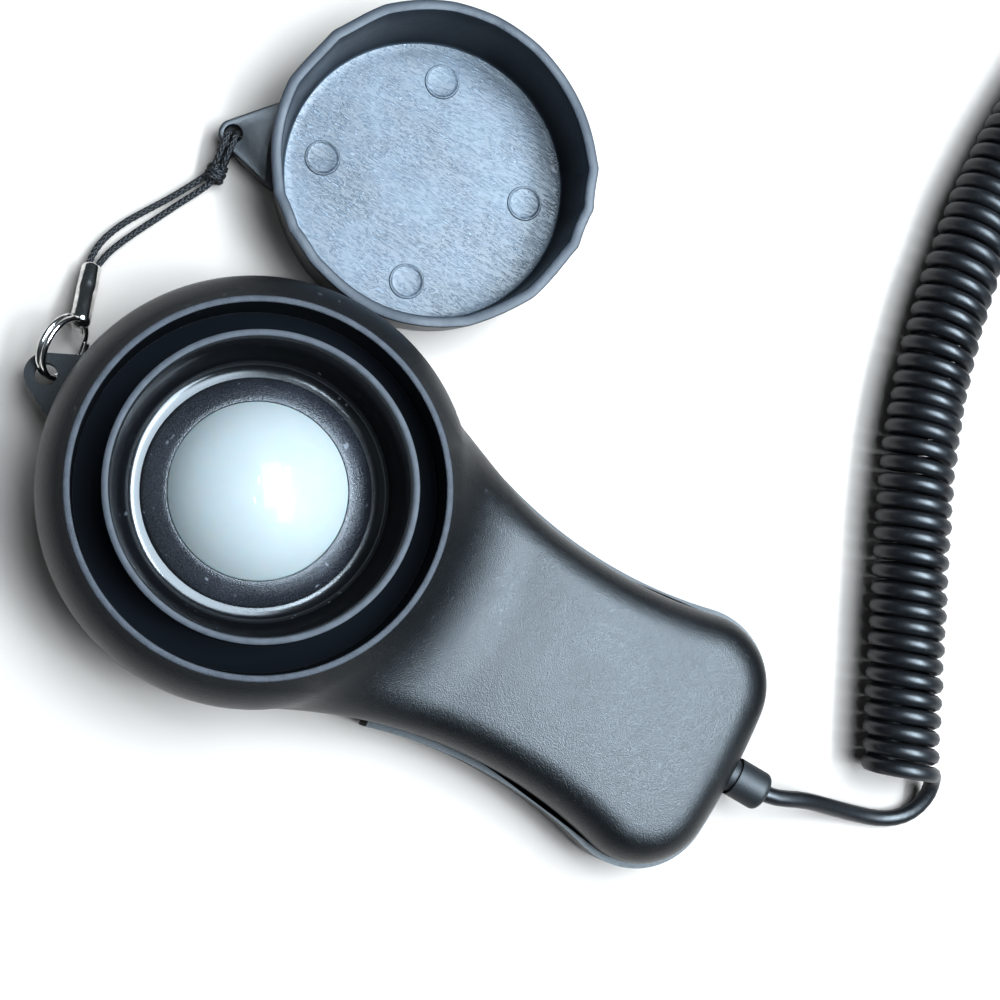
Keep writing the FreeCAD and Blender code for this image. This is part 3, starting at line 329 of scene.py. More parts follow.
floor_part = cap_finish.band(height, *FLOOR_FADE)
cloud = cap_finish.band(cap_finish.noise(95, 4, 0.65), 0.35, 0.65)
all_strokes = strokes(0.95, 0.52, 0.72) * 0.6 + strokes(-0.5, 0.56, 0.74) * 0.4
all_strokes = all_strokes + strokes(0.2, 0.6, 0.75) * 0.3
rubbed = all_strokes * floor_part
rim_part = cap_finish.band(height, *RIM_FADE)
plain = cap_finish.mix(cloud, (0.005, 0.006, 0.009, 1), (0.010, 0.012, 0.016, 1))
# Painted sheen: the floor's base is much lighter and bluer than the wall's, and the strokes are lighter still
# as painted glints.
floor_painted_sheen = cap_finish.mix(cloud, (0.026, 0.032, 0.041, 1), (0.074, 0.090, 0.108, 1))
shown = cap_finish.mix(floor_part, plain, cap_finish.mix(rubbed, floor_painted_sheen, (0.13, 0.155, 0.185, 1)))
shown = cap_finish.mix(rim_part * 0.75, shown, (0.016, 0.020, 0.028, 1))
cap_rough = cap_finish.band(cloud, 0, 1, 0.30, 0.42) + rim_part * 0.15 - rubbed * 0.10
cap_finish.feed(Base_Color=shown, Roughness=cap_rough)
cap_finish.bump(rubbed * 0.7 + cap_finish.noise(1400, 3) * 0.3, 0.00010)
FINISHES["cap_plastic"] = cap_finish
print("cap finish ready")

# %% [markdown]
# The opal dome is a milky glossy shell that light passes a little way into. A faint emission
# paints a glow on it that evens out its shading. Its base is kept low, because the soft boxes are
# strong. Plated steel is bright, with faint polishing marks. The filter is green glass, hidden
# under the dome. The table is mid-grey paper: under the same boxes it renders white, and what it
# throws back onto the black flanks stays small.

# %% Opal, metal and glass
# The emission paints a faint even glow into the dome.
opal = Finish("opal_dome", (0.62, 0.66, 0.65), 0.35, Specular_IOR_Level=0.1, Subsurface_Weight=0.35,
              Subsurface_Scale=0.004, Coat_Weight=0.17, Coat_Roughness=0.02, Emission_Strength=0.03)
cloud = opal.band(opal.noise(90, 3, 0.5), 0.3, 0.7)
opal.feed(Base_Color=opal.mix(cloud, (0.245, 0.257, 0.254, 1), (0.265, 0.277, 0.274, 1)),
          Roughness=opal.band(cloud, 0, 1, 0.31, 0.38), Emission_Color=(0.8, 0.95, 0.93, 1))
opal.bump(opal.noise(700, 2), 0.000004)
FINISHES["opal"] = opal


def plated(name, colour, roughness, marks):
    finish = Finish(name, colour, roughness, Metallic=1.0)
    rub = finish.noise(marks, 4, 0.7)
    rubbed_dark = tuple(c * 0.55 for c in colour)
    finish.feed(Base_Color=finish.mix(finish.band(rub, 0.4, 0.75), (*colour, 1), (*rubbed_dark, 1)),
                Roughness=finish.band(rub, 0.3, 0.7, roughness * 0.6, roughness * 1.7))
    finish.bump(rub, 0.00001)
    return finish


FINISHES["chrome"] = plated("bright_chrome", (0.78, 0.77, 0.75), 0.13, 700)
FINISHES["plug_metal"] = plated("nickel_plate", (0.74, 0.72, 0.68), 0.18, 900)
FINISHES["screw_steel"] = plated("zinc_plate", (0.52, 0.53, 0.55), 0.32, 1200)
glass = Finish("filter_green", (0.25, 0.55, 0.35), 0.05, Transmission_Weight=0.6, IOR=1.5)
glass.feed(Base_Color=glass.mix(glass.noise(200), (0.2, 0.5, 0.3, 1), (0.3, 0.6, 0.4, 1)))
FINISHES["filter_glass"] = glass
table_finish = Finish("pale_table", (0.36, 0.31, 0.275), 0.9)
table_finish.feed(Base_Color=table_finish.mix(table_finish.noise(9, 3), (0.35, 0.305, 0.27, 1),
                                              (0.37, 0.315, 0.28, 1)))
table.data.materials.append(table_finish.material)
print(len(FINISHES), "finishes in all")

# %% [markdown]
# Every CAD node keeps its shape and only changes its finish. The record says which slot each
# node takes, so one loop dresses them all.

# %% Dress the CAD nodes
for part in frame["record"]["subparts"]:
    shell = nodes[part["node"]]
    for slot in shell.material_slots:
        slot.material = FINISHES[part["material_slot"]].material

# %% [markdown]
# The lead is one cord, 2.5 mm thick and about 1.5 m long. It leaves the gland, dips to the
# table, climbs the side of the coil and winds 47 turns towards the plug. A curly lead is made
# by winding it hot on a rod, so its turns are even but never perfect. A NURBS curve of order 3
# is smooth through all of this, and the helix is simply more points of the same spline. Its
# axis is read from a plain guide curve along the coil's route.

# %% Guide curves
COIL_ROUTE = [
    (106.6, 11.2, 6), (94.2, 37, 6), (82.4, 62.5, 6), (76.4, 88.5, 6), (74.4, 112.5, 6), (76.6, 136, 6),
]
NEAR_TAIL = [
    (62, 0, 8.5), (82.6, 0, 8.5), (88.3, 0, 8.5), (93.2, 2.4, 7.3), (98.6, 3.8, 4.6), (103.8, 5.2, 2.3),
    (108.3, 6.6, 1.5), (111.7, 9.2, 1.7), (112.8, 13.2, 2.7), (111.4, 16.3, 4.2),
]
FAR_TAIL = [
    (76, 134.4, 1.4), (82, 134.6, 1.4), (88.6, 132.9, 1.4), (94.6, 129.4, 1.4), (99.2, 124.2, 2.4),
    (101.9, 117.8, 3.9), (103.4, 111, 3.9),
]


def smooth_curve(name, points, radius=0.0, steps=3, sides=2):
    """One open NURBS spline of order 3, with an end on its first and last point."""
    data = bpy.data.curves.new(name, "CURVE")
    data.dimensions = "3D"
    spline = data.splines.new("NURBS")
    spline.points.add(len(points) - 1)
    for knot, place in zip(spline.points, points):
        knot.co = (*place, 1)
    spline.order_u = 3
    spline.use_endpoint_u = True
    data.resolution_u = data.render_resolution_u = steps
    data.bevel_depth = radius
    data.bevel_resolution = sides
    data.use_fill_caps = True
    curve = bpy.data.objects.new(name, data)
    bpy.context.collection.objects.link(curve)
    return curve


def read_line(points, spacing):
    """Evenly spaced places and their ways along the smooth curve through a route."""
    guide = smooth_curve("guide", points, steps=24)
    bpy.context.view_layer.update()
    mesh = bpy.data.meshes.new_from_object(guide)
    line = np.array([v.co for v in mesh.vertices])
    bpy.data.objects.remove(guide)
    bpy.data.meshes.remove(mesh)
    run = np.concatenate([[0], np.cumsum(np.linalg.norm(np.diff(line, axis=0), axis=1))])
    marks = np.linspace(0, run[-1], max(2, round(run[-1] / spacing) + 1))
    places = np.stack([np.interp(marks, run, line[:, k]) for k in range(3)], axis=1)
    ways = np.gradient(places, axis=0)
    return places, ways / np.linalg.norm(ways, axis=1)[:, None], run[-1]


def in_metres(points):
    return [tuple(v * MM for v in point) for point in points]


# %% Lead
LEAD_DIAMETER = 2.5 * MM
TURN_RADIUS = 4.75 * MM
TURNS = 47 - 1 / 3
FIRST_TURN, LAST_GAP = 2.7 * MM, 2.4 * MM
PER_TURN = 14
axis, axis_ways, axis_length = read_line(in_metres(COIL_ROUTE), 0.5 * MM)
axis_run = np.linspace(0, axis_length, len(axis))
count = round(TURNS * PER_TURN)
helix = []
for step in range(count + 1):
    share = step / count
    wander = 0.0022 * math.sin(share * 21) + 0.0014 * math.sin(share * 47 + 1)
    travelled = min(1.0, max(0.0, share + wander * share * (1 - share) * 4))
    along = FIRST_TURN + (axis_length - FIRST_TURN - LAST_GAP) * travelled
    here = Vector([np.interp(along, axis_run, axis[:, k]) for k in range(3)])
    way = Vector([np.interp(along, axis_run, axis_ways[:, k]) for k in range(3)]).normalized()
    side = way.cross(Vector((0, 0, 1))).normalized()
    turn = math.radians(30) + 2 * math.pi * TURNS * share
    reach = TURN_RADIUS * (1 + 0.012 * math.sin(share * 133) + 0.008 * math.sin(share * 61 + 2))
    flat = min(reach, TURN_RADIUS)
    helix.append(here + side * math.cos(turn) * reach + Vector((0, 0, math.sin(turn) * flat)))
lead_points = [*in_metres(NEAR_TAIL), *helix, *in_metres(FAR_TAIL)[1:]]
lead = smooth_curve("curly_lead", lead_points, LEAD_DIAMETER / 2, steps=3, sides=3)
lead.data.materials.append(FINISHES["lead_jacket"].material)
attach(lead, "sensor_head")
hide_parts("cord_tail", "cord_coil", "cord_far_tail")
print("lead:", len(lead.data.splines[0].points), "points, coil axis", round(axis_length, 4), "m")

# %% [markdown]
# The strap cord is a round braid, about 1 mm thick: four yarns wind one way, four the other, and
# each goes over one and under the next. Eight thin curves, whose distance from the middle rises
# and falls four times a turn, make a true braid. A bump map would look flat this close.
# Both strands are one doubled cord, out from the crimp, round inside the knot, and back.

# %% Braid maker
YARN_RADIUS, BRAID_RADIUS, OVER, BRAID_PITCH = 0.17 * MM, 0.29 * MM, 0.05 * MM, 4.0 * MM


def mesh_of(curve):
    """Turns a curve object into a mesh object."""
    bpy.ops.object.select_all(action="DESELECT")
    curve.select_set(True)
    bpy.context.view_layer.objects.active = curve
    bpy.ops.object.convert(target="MESH")
    return bpy.context.object


def yarn_wires(name, wires, radius, sides=1):
    """Several bevelled polylines as one mesh."""
    data = bpy.data.curves.new(name, "CURVE")
    data.dimensions, data.bevel_depth, data.bevel_resolution = "3D", radius, sides
    data.use_fill_caps = True
    for wire in wires:
        spline = data.splines.new("POLY")
        spline.points.add(len(wire) - 1)
        for knot, place in zip(spline.points, wire):
            knot.co = (*place, 1)
    curve = bpy.data.objects.new(name, data)
    bpy.context.collection.objects.link(curve)
    piece = mesh_of(curve)
    bpy.ops.object.shade_smooth()
    return piece


def carried_sides(ways):
    """A side direction at each place that turns with the line but never twists about it."""
    side = Vector(ways[0]).orthogonal().normalized()
    sides = []
    for way in ways:
        way = Vector(way)
        side = (side - way * side.dot(way)).normalized()
        sides.append(side)
    return sides


def braid(name, route, spacing=0.14):
    """Eight woven yarns along a route in millimetres."""
    places, ways, length = read_line(in_metres(route), spacing * MM)
    sides = carried_sides(ways)
    runs = np.linspace(0, length, len(places))
    wires = []
    for sense in (1, -1):
        for start in range(4):
            wire = []
            for place, way, side, run in zip(places, ways, sides, runs):
                turn = 2 * math.pi * run / BRAID_PITCH
                angle = start * math.pi / 2 + sense * turn
                reach = BRAID_RADIUS + sense * OVER * math.cos(4 * turn)
                other = Vector(way).cross(side)
                wire.append(Vector(place) + (side * math.cos(angle) + other * math.sin(angle)) * reach)
            wires.append(wire)
    piece = yarn_wires(name, wires, YARN_RADIUS)
    piece.data.materials.append(FINISHES["braid"].material)
    return piece, [tuple(p) for p in places], length


print("braid of 8 yarns, pitch", BRAID_PITCH / MM, "mm")

# %% Strap, loop and knot
STRAP_ROUTE = [
    (-36.7, 14.9, 2.9), (-37.05, 16.9, 2.13), (-37.5, 20.6, 1.3), (-36.4, 24.6, 1.1), (-34.4, 28.4, 1.1),
    (-32.2, 32.2, 1.3), (-30.2, 36.2, 1.8), (-29.3, 38.2, 2.4), (-28.2, 38.6, 2.4), (-28.6, 36.4, 1.8),
    (-30.8, 32.0, 1.3), (-32.3, 28.6, 1.1), (-34.1, 24.6, 1.1), (-35.6, 20.6, 1.3), (-35.9, 17.35, 2.13),
    (-35.8, 15.3, 2.9),
]
strands, strand_line, strand_length = braid("strap_cord", STRAP_ROUTE)
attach(strands, "strap")
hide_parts("lanyard_strand_outer", "lanyard_strand_inner")

EAR_SPOT, KNOT_SPOT = Vector((-29.345, 44.547)), Vector((-28.595, 38.443))
ear_way = (EAR_SPOT - KNOT_SPOT).normalized()
ear_side = Vector((-ear_way.y, ear_way.x))


def near_ear(points, aside):
    """Points given as distance from the knot towards the ear, sideways shift and level."""
    return [(*(KNOT_SPOT + ear_way * along + ear_side * (aside + shift)), level)
            for along, shift, level in points]


LOOP = [
    (-1.0, 0, 2.2), (0.2, 0, 3.0), (1.4, 0, 3.9), (2.8, 0, 4.6), (4.3, 0, 4.9), (5.6, 0, 4.8), (6.5, 0, 3.9),
    (6.6, 0, 2.6), (6.1, 0, 1.3), (4.6, 0, 0.95), (3.0, 0, 0.85), (1.6, 0, 0.95), (0.3, 0, 1.4),
    (-1.0, 0, 1.8),
]
LOOP_SIDES = (("left", 0.56), ("right", -0.56))
loops = [braid(f"loop_{side}", near_ear(LOOP, aside))[0] for side, aside in LOOP_SIDES]
WRAP_TURNS, WRAP_RADIUS, WRAP_STEPS = 2.6, 1.12, 14
wrap = []
for step in range(int(WRAP_TURNS * WRAP_STEPS)):
    turn = 2 * math.pi * step / WRAP_STEPS
    along = -1.25 + 2.3 * step / (WRAP_TURNS * WRAP_STEPS) + 0.25 * math.sin(turn)
    wrap.append((along, WRAP_RADIUS * math.cos(turn), 2.25 + WRAP_RADIUS * math.sin(turn)))
wrap = [(-0.2, -0.2, 2.0), (-1.0, 0.5, 1.8), *wrap, (0.6, 0.2, 2.4)]
knot, _, _ = braid("strap_knot", near_ear(wrap, 0.0))
bpy.ops.object.select_all(action="DESELECT")
for part in (*loops, knot):
    part.select_set(True)
bpy.context.view_layer.objects.active = knot
bpy.ops.object.join()
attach(knot, "cap")
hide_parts("lanyard_loop", "lanyard_knot")
print("strap cord", round(strand_length / MM, 1), "mm, faces", len(strands.data.polygons))
print("knot and loops, faces", len(knot.data.polygons))

# %% [markdown]
# The split ring is spring wire wound twice round, so two turns lie side by side and its ends
# show. A helix of two turns in the ring's own tilted plane makes it. The crimp is a short plated
# tube squeezed on the doubled cord, and the ring passes at its open end.

# %% Split ring
RING_CENTRE, RING_RADIUS, RING_WIRE = Vector((-33.5, 4.6, 5.6)) * MM, 4.6 * MM, 0.42 * MM
STEPS_A_TURN = 64
RING_STEPS = 2 * STEPS_A_TURN - 2
ring_lean = Matrix.Rotation(math.radians(62), 3, "Y")
wire = []
for step in range(RING_STEPS):
    turn = 2 * math.pi * step / STEPS_A_TURN + 0.9
    slide = (step / (RING_STEPS - 1) - 0.5) * 2
    offset = RING_WIRE * max(-1.0, min(1.0, slide * 6))
    spot = Vector((RING_RADIUS * math.cos(turn), RING_RADIUS * math.sin(turn), offset))
    wire.append(RING_CENTRE + ring_lean @ spot)
ring = yarn_wires("split_ring_wire", [wire], RING_WIRE, sides=4)
ring.data.materials.append(FINISHES["chrome"].material)
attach(ring, "split_ring")
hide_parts("split_ring")
print("split ring faces", len(ring.data.polygons))

# %% Turned shapes
def lathe(name, profile, segments=64, close=False):
    """A ring of edges, extruded and resized from one (radius, height) to the next."""
    bpy.ops.object.select_all(action="DESELECT")
    radius, height = profile[0]
    bpy.ops.mesh.primitive_circle_add(vertices=segments, radius=radius * MM, location=(0, 0, height * MM))
    piece = bpy.context.object
    piece.name = name
    bpy.ops.object.transform_apply(location=True, rotation=True, scale=True)
    bpy.ops.object.mode_set(mode="EDIT")
    bpy.ops.mesh.select_all(action="SELECT")
    if not close:
        bpy.ops.mesh.edge_face_add()
    for (r0, z0), (r1, z1) in zip(profile, profile[1:]):
        bpy.ops.mesh.extrude_region_move(TRANSFORM_OT_translate={"value": (0, 0, (z1 - z0) * MM)})
        bpy.ops.transform.resize(value=(r1 / r0, r1 / r0, 1), center_override=(0, 0, 0))
    bpy.ops.mesh.select_all(action="SELECT")
    if close:
        bpy.ops.mesh.remove_doubles(threshold=1e-6)
    bpy.ops.mesh.normals_make_consistent(inside=False)
    bpy.ops.object.mode_set(mode="OBJECT")
    return piece


def settle(piece, matrix, finish, body, *replaced, smooth=35):
    """Puts a finished piece in place for good, with its finish, body and the nodes it stands for."""
    piece.data.transform(matrix)
    piece.data.update()
    bpy.ops.object.select_all(action="DESELECT")
    piece.select_set(True)
    bpy.context.view_layer.objects.active = piece
    bpy.ops.object.shade_smooth_by_angle(angle=math.radians(smooth))
    piece.data.materials.clear()
    piece.data.materials.append(FINISHES[finish].material)
    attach(piece, body)
    if replaced:
        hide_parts(*replaced)


# %% Crimp
EYE_SPOT = Vector((-33.5, 9.2, 5.6)) * MM
crimp_way = Vector((-3.0, 8.0, -3.5)).normalized()
CRIMP = [
    (0.7, -0.85), (1.15, -0.78), (1.38, -0.5), (1.45, 0.0), (1.45, 1.5), (1.45, 3.0), (1.45, 3.7),
    (1.45, 4.3), (1.45, 4.9), (1.45, 5.5), (1.45, 6.1), (1.45, 7.0), (1.45, 8.6), (1.42, 8.9),
    (1.34, 9.05), (1.16, 9.05), (1.12, 8.9), (1.12, 7.6),
]
barrel = lathe("strap_crimp_tube", CRIMP, 40)
for vertex in barrel.data.vertices:
    squeeze = math.exp(-(((vertex.co.z / MM - 4.9) / 1.1) ** 2))
    vertex.co.x *= 1 + 0.04 * squeeze
    vertex.co.y *= 1 - 0.13 * squeeze
crimp_roll = Matrix.Rotation(math.radians(15), 4, "Z")
crimp_turn = crimp_way.to_track_quat("Z", "Y").to_matrix().to_4x4() @ crimp_roll
settle(barrel, Matrix.Translation(EYE_SPOT) @ crimp_turn, "chrome", "strap", "strap_crimp", smooth=50)
print("crimp faces", len(barrel.data.polygons))

# %% [markdown]
# The well around the dome is one turned-looking moulding, polished inside so that it throws
# light back at the dome. Its wall is hollow like a bowl and ends in a tight round at the foot,
# which is what carries the thin bright crescent. The seat ring inside it is a low round swell
# with a coarse sparkle. Both are turned from a profile of radius and height in millimetres.

# %% Well and seat ring
BOWL = [
    (11.6, 11.8), (18.0, 11.8), (18.0, 10.4), (19.5, 10.4), (19.5, 14.6), (21.2, 14.6), (21.2, 17.5),
    (21.2, 21.0), (21.2, 23.85), (21.1, 24.03), (20.95, 24.1), (20.4, 24.1), (20.25, 24.03),
    (20.15, 23.85), (20.0, 22.8), (19.75, 21.4), (19.45, 19.6), (19.15, 17.8), (18.9, 16.2),
    (18.65, 15.1), (18.35, 14.45), (18.0, 14.02), (17.6, 13.76), (17.2, 13.62), (16.8, 13.51),
    (16.4, 13.445), (16.0, 13.42), (15.8, 13.4), (11.6, 13.4), (11.6, 11.8),
]
SEAT_RING = [
    (13.7, 13.42), (16.0, 13.42), (16.05, 13.6), (15.9, 13.95), (15.55, 14.35), (15.1, 14.72),
    (14.6, 15.03), (14.0, 15.33), (13.3, 15.62), (12.75, 15.8), (12.5, 15.78), (12.45, 15.6),
    (12.45, 14.75), (13.7, 14.75), (13.7, 13.42),
]
IN_PLACE = Matrix.Identity(4)
bowl = lathe("bezel_well", BOWL, 128, close=True)
settle(bowl, IN_PLACE, "bezel", "sensor_head", "bezel_bowl", smooth=32)
seat = lathe("seat_swell", SEAT_RING, 96, close=True)
settle(seat, IN_PLACE, "seat_ring", "sensor_head", "seat_ring", smooth=32)
print("well faces", len(bowl.data.polygons), "seat ring faces", len(seat.data.polygons))

# %% [markdown]
# The front housing is one moulding: the round head swells up to a thin lip, and its flank runs
# down into the grip in a long soft hollow, as if the two had been melted together. Three true
# surfaces are blended: a turned head, an arched grip with rounded edges, and a fillet that is
# large along the middle and fades out where the sides meet. For each place of a fine net the
# script finds the height at which the blend ends. The net follows the outline in rings, so the
# rounded edges get their faces where they bend. Everything inside the lip is then extruded.

# %% Outline of the housing
HEAD, WAIST, CORNER, END = 30.0, 69.0, 10.5, 110.0
WAIST_X, END_X = 49.5, 80.5 - END
PARTING, LIP_RADIUS, BORE, ROOF, WALL = 8.5, 26.1, 19.6, 13.0, 2.2
FLANK, FLANK_X, FLANK_Z = 8.6, 21.4, 14.8
CROWN, CROWN_X, CROWN_ARC, EDGE = 16.8, 54.0, 240.0, 5.4
waist_y = math.sqrt((HEAD + WAIST) ** 2 - WAIST_X ** 2)
reach_waist, reach_end = WAIST + CORNER, END - CORNER
apart = math.hypot(WAIST_X - END_X, waist_y)
along = (reach_waist ** 2 - reach_end ** 2 + apart ** 2) / (2 * apart)
across = math.sqrt(reach_waist ** 2 - along ** 2)
to_end = ((END_X - WAIST_X) / apart, -waist_y / apart)
corner_x = WAIST_X + to_end[0] * along - to_end[1] * across
corner_y = waist_y + to_end[1] * along + to_end[0] * across
print("corner centre", round(corner_x, 2), round(corner_y, 2), "waist centre", WAIST_X, round(waist_y, 2))


def arc_points(cx, cy, radius, start, stop, count):
    angles = np.linspace(start, stop, count, endpoint=False)
    return [(cx + radius * math.cos(a), cy + radius * math.sin(a)) for a in angles]


def outline(inset):
    """One closed ring of points inside the outline by inset, with the same count for any inset."""
    neck = math.atan2(waist_y, WAIST_X)
    hip = math.atan2(corner_y - waist_y, corner_x - WAIST_X)
    toe = math.atan2(corner_y, corner_x - END_X)
    top = arc_points(END_X, 0, END - inset, 0, toe, 14)
    top += arc_points(corner_x, corner_y, CORNER - inset, toe, hip + math.pi, 24)
    top += arc_points(WAIST_X, waist_y, WAIST + inset, hip, neck - math.pi, 56)
    top += arc_points(0, 0, HEAD - inset, neck, math.pi, 80)
    top.append((-(HEAD - inset), 0.0))
    return top + [(x, -y) for x, y in top[-2:0:-1]]


def depth_inside(x, y):
    """How far inside the grip's own outline a place is."""
    y = np.abs(y)
    side = np.hypot(x - WAIST_X, y - waist_y) - WAIST
    front = END - np.hypot(x - END_X, y)
    corner = CORNER - np.hypot(x - corner_x, y - corner_y)
    past_end = (corner_x - END_X) * (y - corner_y) > corner_y * (x - corner_x)
    past_waist = (x - corner_x) * (waist_y - corner_y) > (y - corner_y) * (WAIST_X - corner_x)
    in_corner = past_end & past_waist
    return np.where(in_corner, corner, np.minimum(side, front))


# %% Height of the blended skin
def skin_height(points):
    """Level of the skin: the head's flank, the grip's crown, or the hollow rolled between them."""
    x, y = np.array(points).T
    radial = np.hypot(x, y)
    inside = np.clip(depth_inside(x, y), 0, EDGE)
    crown = CROWN - CROWN_ARC + np.sqrt(CROWN_ARC ** 2 - (x - CROWN_X) ** 2) - 0.0016 * y ** 2
    grip = crown - EDGE + np.sqrt(EDGE ** 2 - (EDGE - inside) ** 2)
    bearing = np.degrees(np.arctan2(np.abs(y), x))
    fade = np.clip((60 - bearing) / 34, 0, 1)
    ball = 1.0 + 19.0 * fade * fade * (3 - 2 * fade)
    lift = grip + ball - FLANK_Z
    rolled = FLANK_X + np.sqrt((FLANK + ball) ** 2 - np.maximum(lift, 0) ** 2)
    centre = np.where(lift > 0, rolled, HEAD + ball)
    touch = FLANK_X + (centre - FLANK_X) * FLANK / (FLANK + ball)
    touch = np.where(lift > 0, touch, HEAD)
    hollow = grip + ball - np.sqrt(np.maximum(ball ** 2 - (centre - radial) ** 2, 0))
    flank = FLANK_Z + np.sqrt(np.maximum(FLANK ** 2 - (radial - FLANK_X) ** 2, 0))
    outer = np.where(radial < centre, hollow, grip)
    outer = np.where(depth_inside(x, y) > -1e-3, outer, PARTING)
    return np.where(radial <= np.minimum(touch, HEAD) + 1e-3, flank, outer)


# %% Net of the skin
RING_INSETS = (0.0, 0.06, 0.22, 0.5, 0.9, 1.45, 2.1, 2.9)
rings = [outline(inset) for inset in RING_INSETS]
per_ring = len(rings[0])
lip_count = 160
lip_ring = arc_points(0, 0, LIP_RADIUS, 0, 2 * math.pi, lip_count)
STEP, ROWS, COLUMNS = 1.05, range(-30, 31), range(20, 85)
inner = []
for row in ROWS:
    for column in COLUMNS:
        x, y = (column + 0.5 * (row % 2)) * STEP, row * STEP * 0.866
        if math.hypot(x, y) > LIP_RADIUS + 0.8 and depth_inside(np.array(x), np.array(y)) > 3.5 and x > 8:
            inner.append((x, y))
flat = [point for ring in rings for point in ring] + lip_ring + inner
edges = []
for number in range(len(rings)):
    base = number * per_ring
    edges += [(base + k, base + (k + 1) % per_ring) for k in range(per_ring)]
lip_start = len(rings) * per_ring
edges += [(lip_start + k, lip_start + (k + 1) % lip_count) for k in range(lip_count)]
vertices, _, faces, *_ = geometry.delaunay_2d_cdt([Vector(p) for p in flat], edges, [], 0, 1e-7)
kept = []
loop = np.array(rings[0])


def in_outline(px, py):
    x0, y0 = loop.T
    x1, y1 = np.roll(x0, -1), np.roll(y0, -1)
    crossing = ((y0 > py) != (y1 > py)) & (px < (x1 - x0) * (py - y0) / (y1 - y0 + 1e-12) + x0)
    return crossing.sum() % 2 == 1


for face in faces:
    middle = sum((vertices[v] for v in face), Vector((0, 0))) / len(face)
    if middle.length > LIP_RADIUS * 0.9998 and in_outline(*middle):
        kept.append(face)
heights = skin_height([tuple(v) for v in vertices])
skin = bpy.data.meshes.new("front_housing_skin")
skin.from_pydata([(v.x * MM, v.y * MM, h * MM) for v, h in zip(vertices, heights)], [], kept)
housing = bpy.data.objects.new("front_housing_shell", skin)
bpy.context.collection.objects.link(housing)
print("skin net:", len(vertices), "vertices,", len(kept), "faces, top at", round(heights.max(), 2), "mm")

# %% Lip and channel
def pick(piece, wanted):
    """In edit mode, selects exactly the vertices that the test wants."""
    bpy.ops.mesh.select_all(action="DESELECT")
    bpy.ops.mesh.select_mode(type="VERT")
    mesh = bmesh.from_edit_mesh(piece.data)
    for vertex in mesh.verts:
        vertex.select_set(wanted(vertex))
    mesh.select_flush_mode()
    bmesh.update_edit_mesh(piece.data)


def is_lip(vertex):
    return vertex.is_boundary and math.hypot(vertex.co.x, vertex.co.y) < (LIP_RADIUS + 0.05) * MM


def extrude_to(radius_from, radius_to, z_from, z_to):
    ratio = radius_to / radius_from
    bpy.ops.mesh.extrude_region_move(TRANSFORM_OT_translate={"value": (0, 0, (z_to - z_from) * MM)})
    bpy.ops.transform.resize(value=(ratio, ratio, 1), center_override=(0, 0, 0))


bpy.ops.object.select_all(action="DESELECT")
housing.select_set(True)
bpy.context.view_layer.objects.active = housing
bpy.ops.object.mode_set(mode="EDIT")
bpy.ops.mesh.select_all(action="SELECT")
bpy.ops.mesh.normals_make_consistent(inside=False)
pick(housing, is_lip)
LIP_STEPS = [
    (LIP_RADIUS, 22.0), (26.0, 22.12), (25.85, 22.17), (25.35, 22.17), (25.2, 22.12), (25.1, 21.98),
    (25.1, 14.9), (25.0, 14.68), (24.8, 14.6), (19.9, 14.6), (19.68, 14.55), (BORE, 14.4), (BORE, ROOF),
]
for (r0, z0), (r1, z1) in zip(LIP_STEPS, LIP_STEPS[1:]):
    extrude_to(r0, r1, z0, z1)
bpy.ops.object.mode_set(mode="OBJECT")
print("lip and channel in", len(LIP_STEPS) - 1, "steps")

# %% [markdown]
# Inside, the housing is hollow: a flat roof over the electronics, set in by the wall's
# thickness. The roof is a second net with the well's bore cut out of it. Outer skin and roof
# are joined, both edges are drawn down to the parting line, and a band closes the wall's foot.

# %% Roof and walls
hollow_ring = outline(WALL)
bore_ring = arc_points(0, 0, BORE, 0, 2 * math.pi, lip_count)
roof_edges = [(k, (k + 1) % per_ring) for k in range(per_ring)]
roof_edges += [(per_ring + k, per_ring + (k + 1) % lip_count) for k in range(lip_count)]
roof_points, _, roof_faces, *_ = geometry.delaunay_2d_cdt(
    [Vector(p) for p in hollow_ring + bore_ring], roof_edges, [], 0, 1e-7)
loop = np.array(hollow_ring)
roof_kept = []
for face in roof_faces:
    middle = sum((roof_points[v] for v in face), Vector((0, 0))) / len(face)
    if middle.length > BORE * 0.9998 and in_outline(*middle):
        roof_kept.append(tuple(reversed(face)))
roof = bpy.data.meshes.new("front_housing_roof")
roof.from_pydata([(v.x * MM, v.y * MM, ROOF * MM) for v in roof_points], [], roof_kept)
hollow = bpy.data.objects.new("front_housing_hollow", roof)
bpy.context.collection.objects.link(hollow)
bpy.ops.object.select_all(action="DESELECT")
housing.select_set(True)
hollow.select_set(True)
bpy.context.view_layer.objects.active = housing
bpy.ops.object.join()
bpy.ops.object.mode_set(mode="EDIT")
bpy.ops.mesh.select_all(action="SELECT")
bpy.ops.mesh.remove_doubles(threshold=2e-6)
for wanted_radius in ("outer", "hollow"):
    pick(housing, lambda v: v.is_boundary and v.co.z > (PARTING + 0.01) * MM
         and ((abs(v.co.z - ROOF * MM) < 1e-6) == (wanted_radius == "hollow")))
    bpy.ops.mesh.extrude_region_move(TRANSFORM_OT_translate={"value": (0, 0, 0)})
    bpy.ops.transform.resize(value=(1, 1, 0), center_override=(0, 0, PARTING * MM))
bpy.ops.object.mode_set(mode="OBJECT")
rim = bmesh.new()
rim.from_mesh(housing.data)
open_edges = [edge for edge in rim.edges if edge.is_boundary]
bmesh.ops.bridge_loops(rim, edges=open_edges)
bmesh.ops.recalc_face_normals(rim, faces=rim.faces)
still_open = sum(edge.is_boundary for edge in rim.edges)
rim.to_mesh(housing.data)
rim.free()
settle(housing, IN_PLACE, "front_shell", "sensor_head", "front_housing", smooth=40)
print("front housing faces", len(housing.data.polygons), "open edges", still_open)

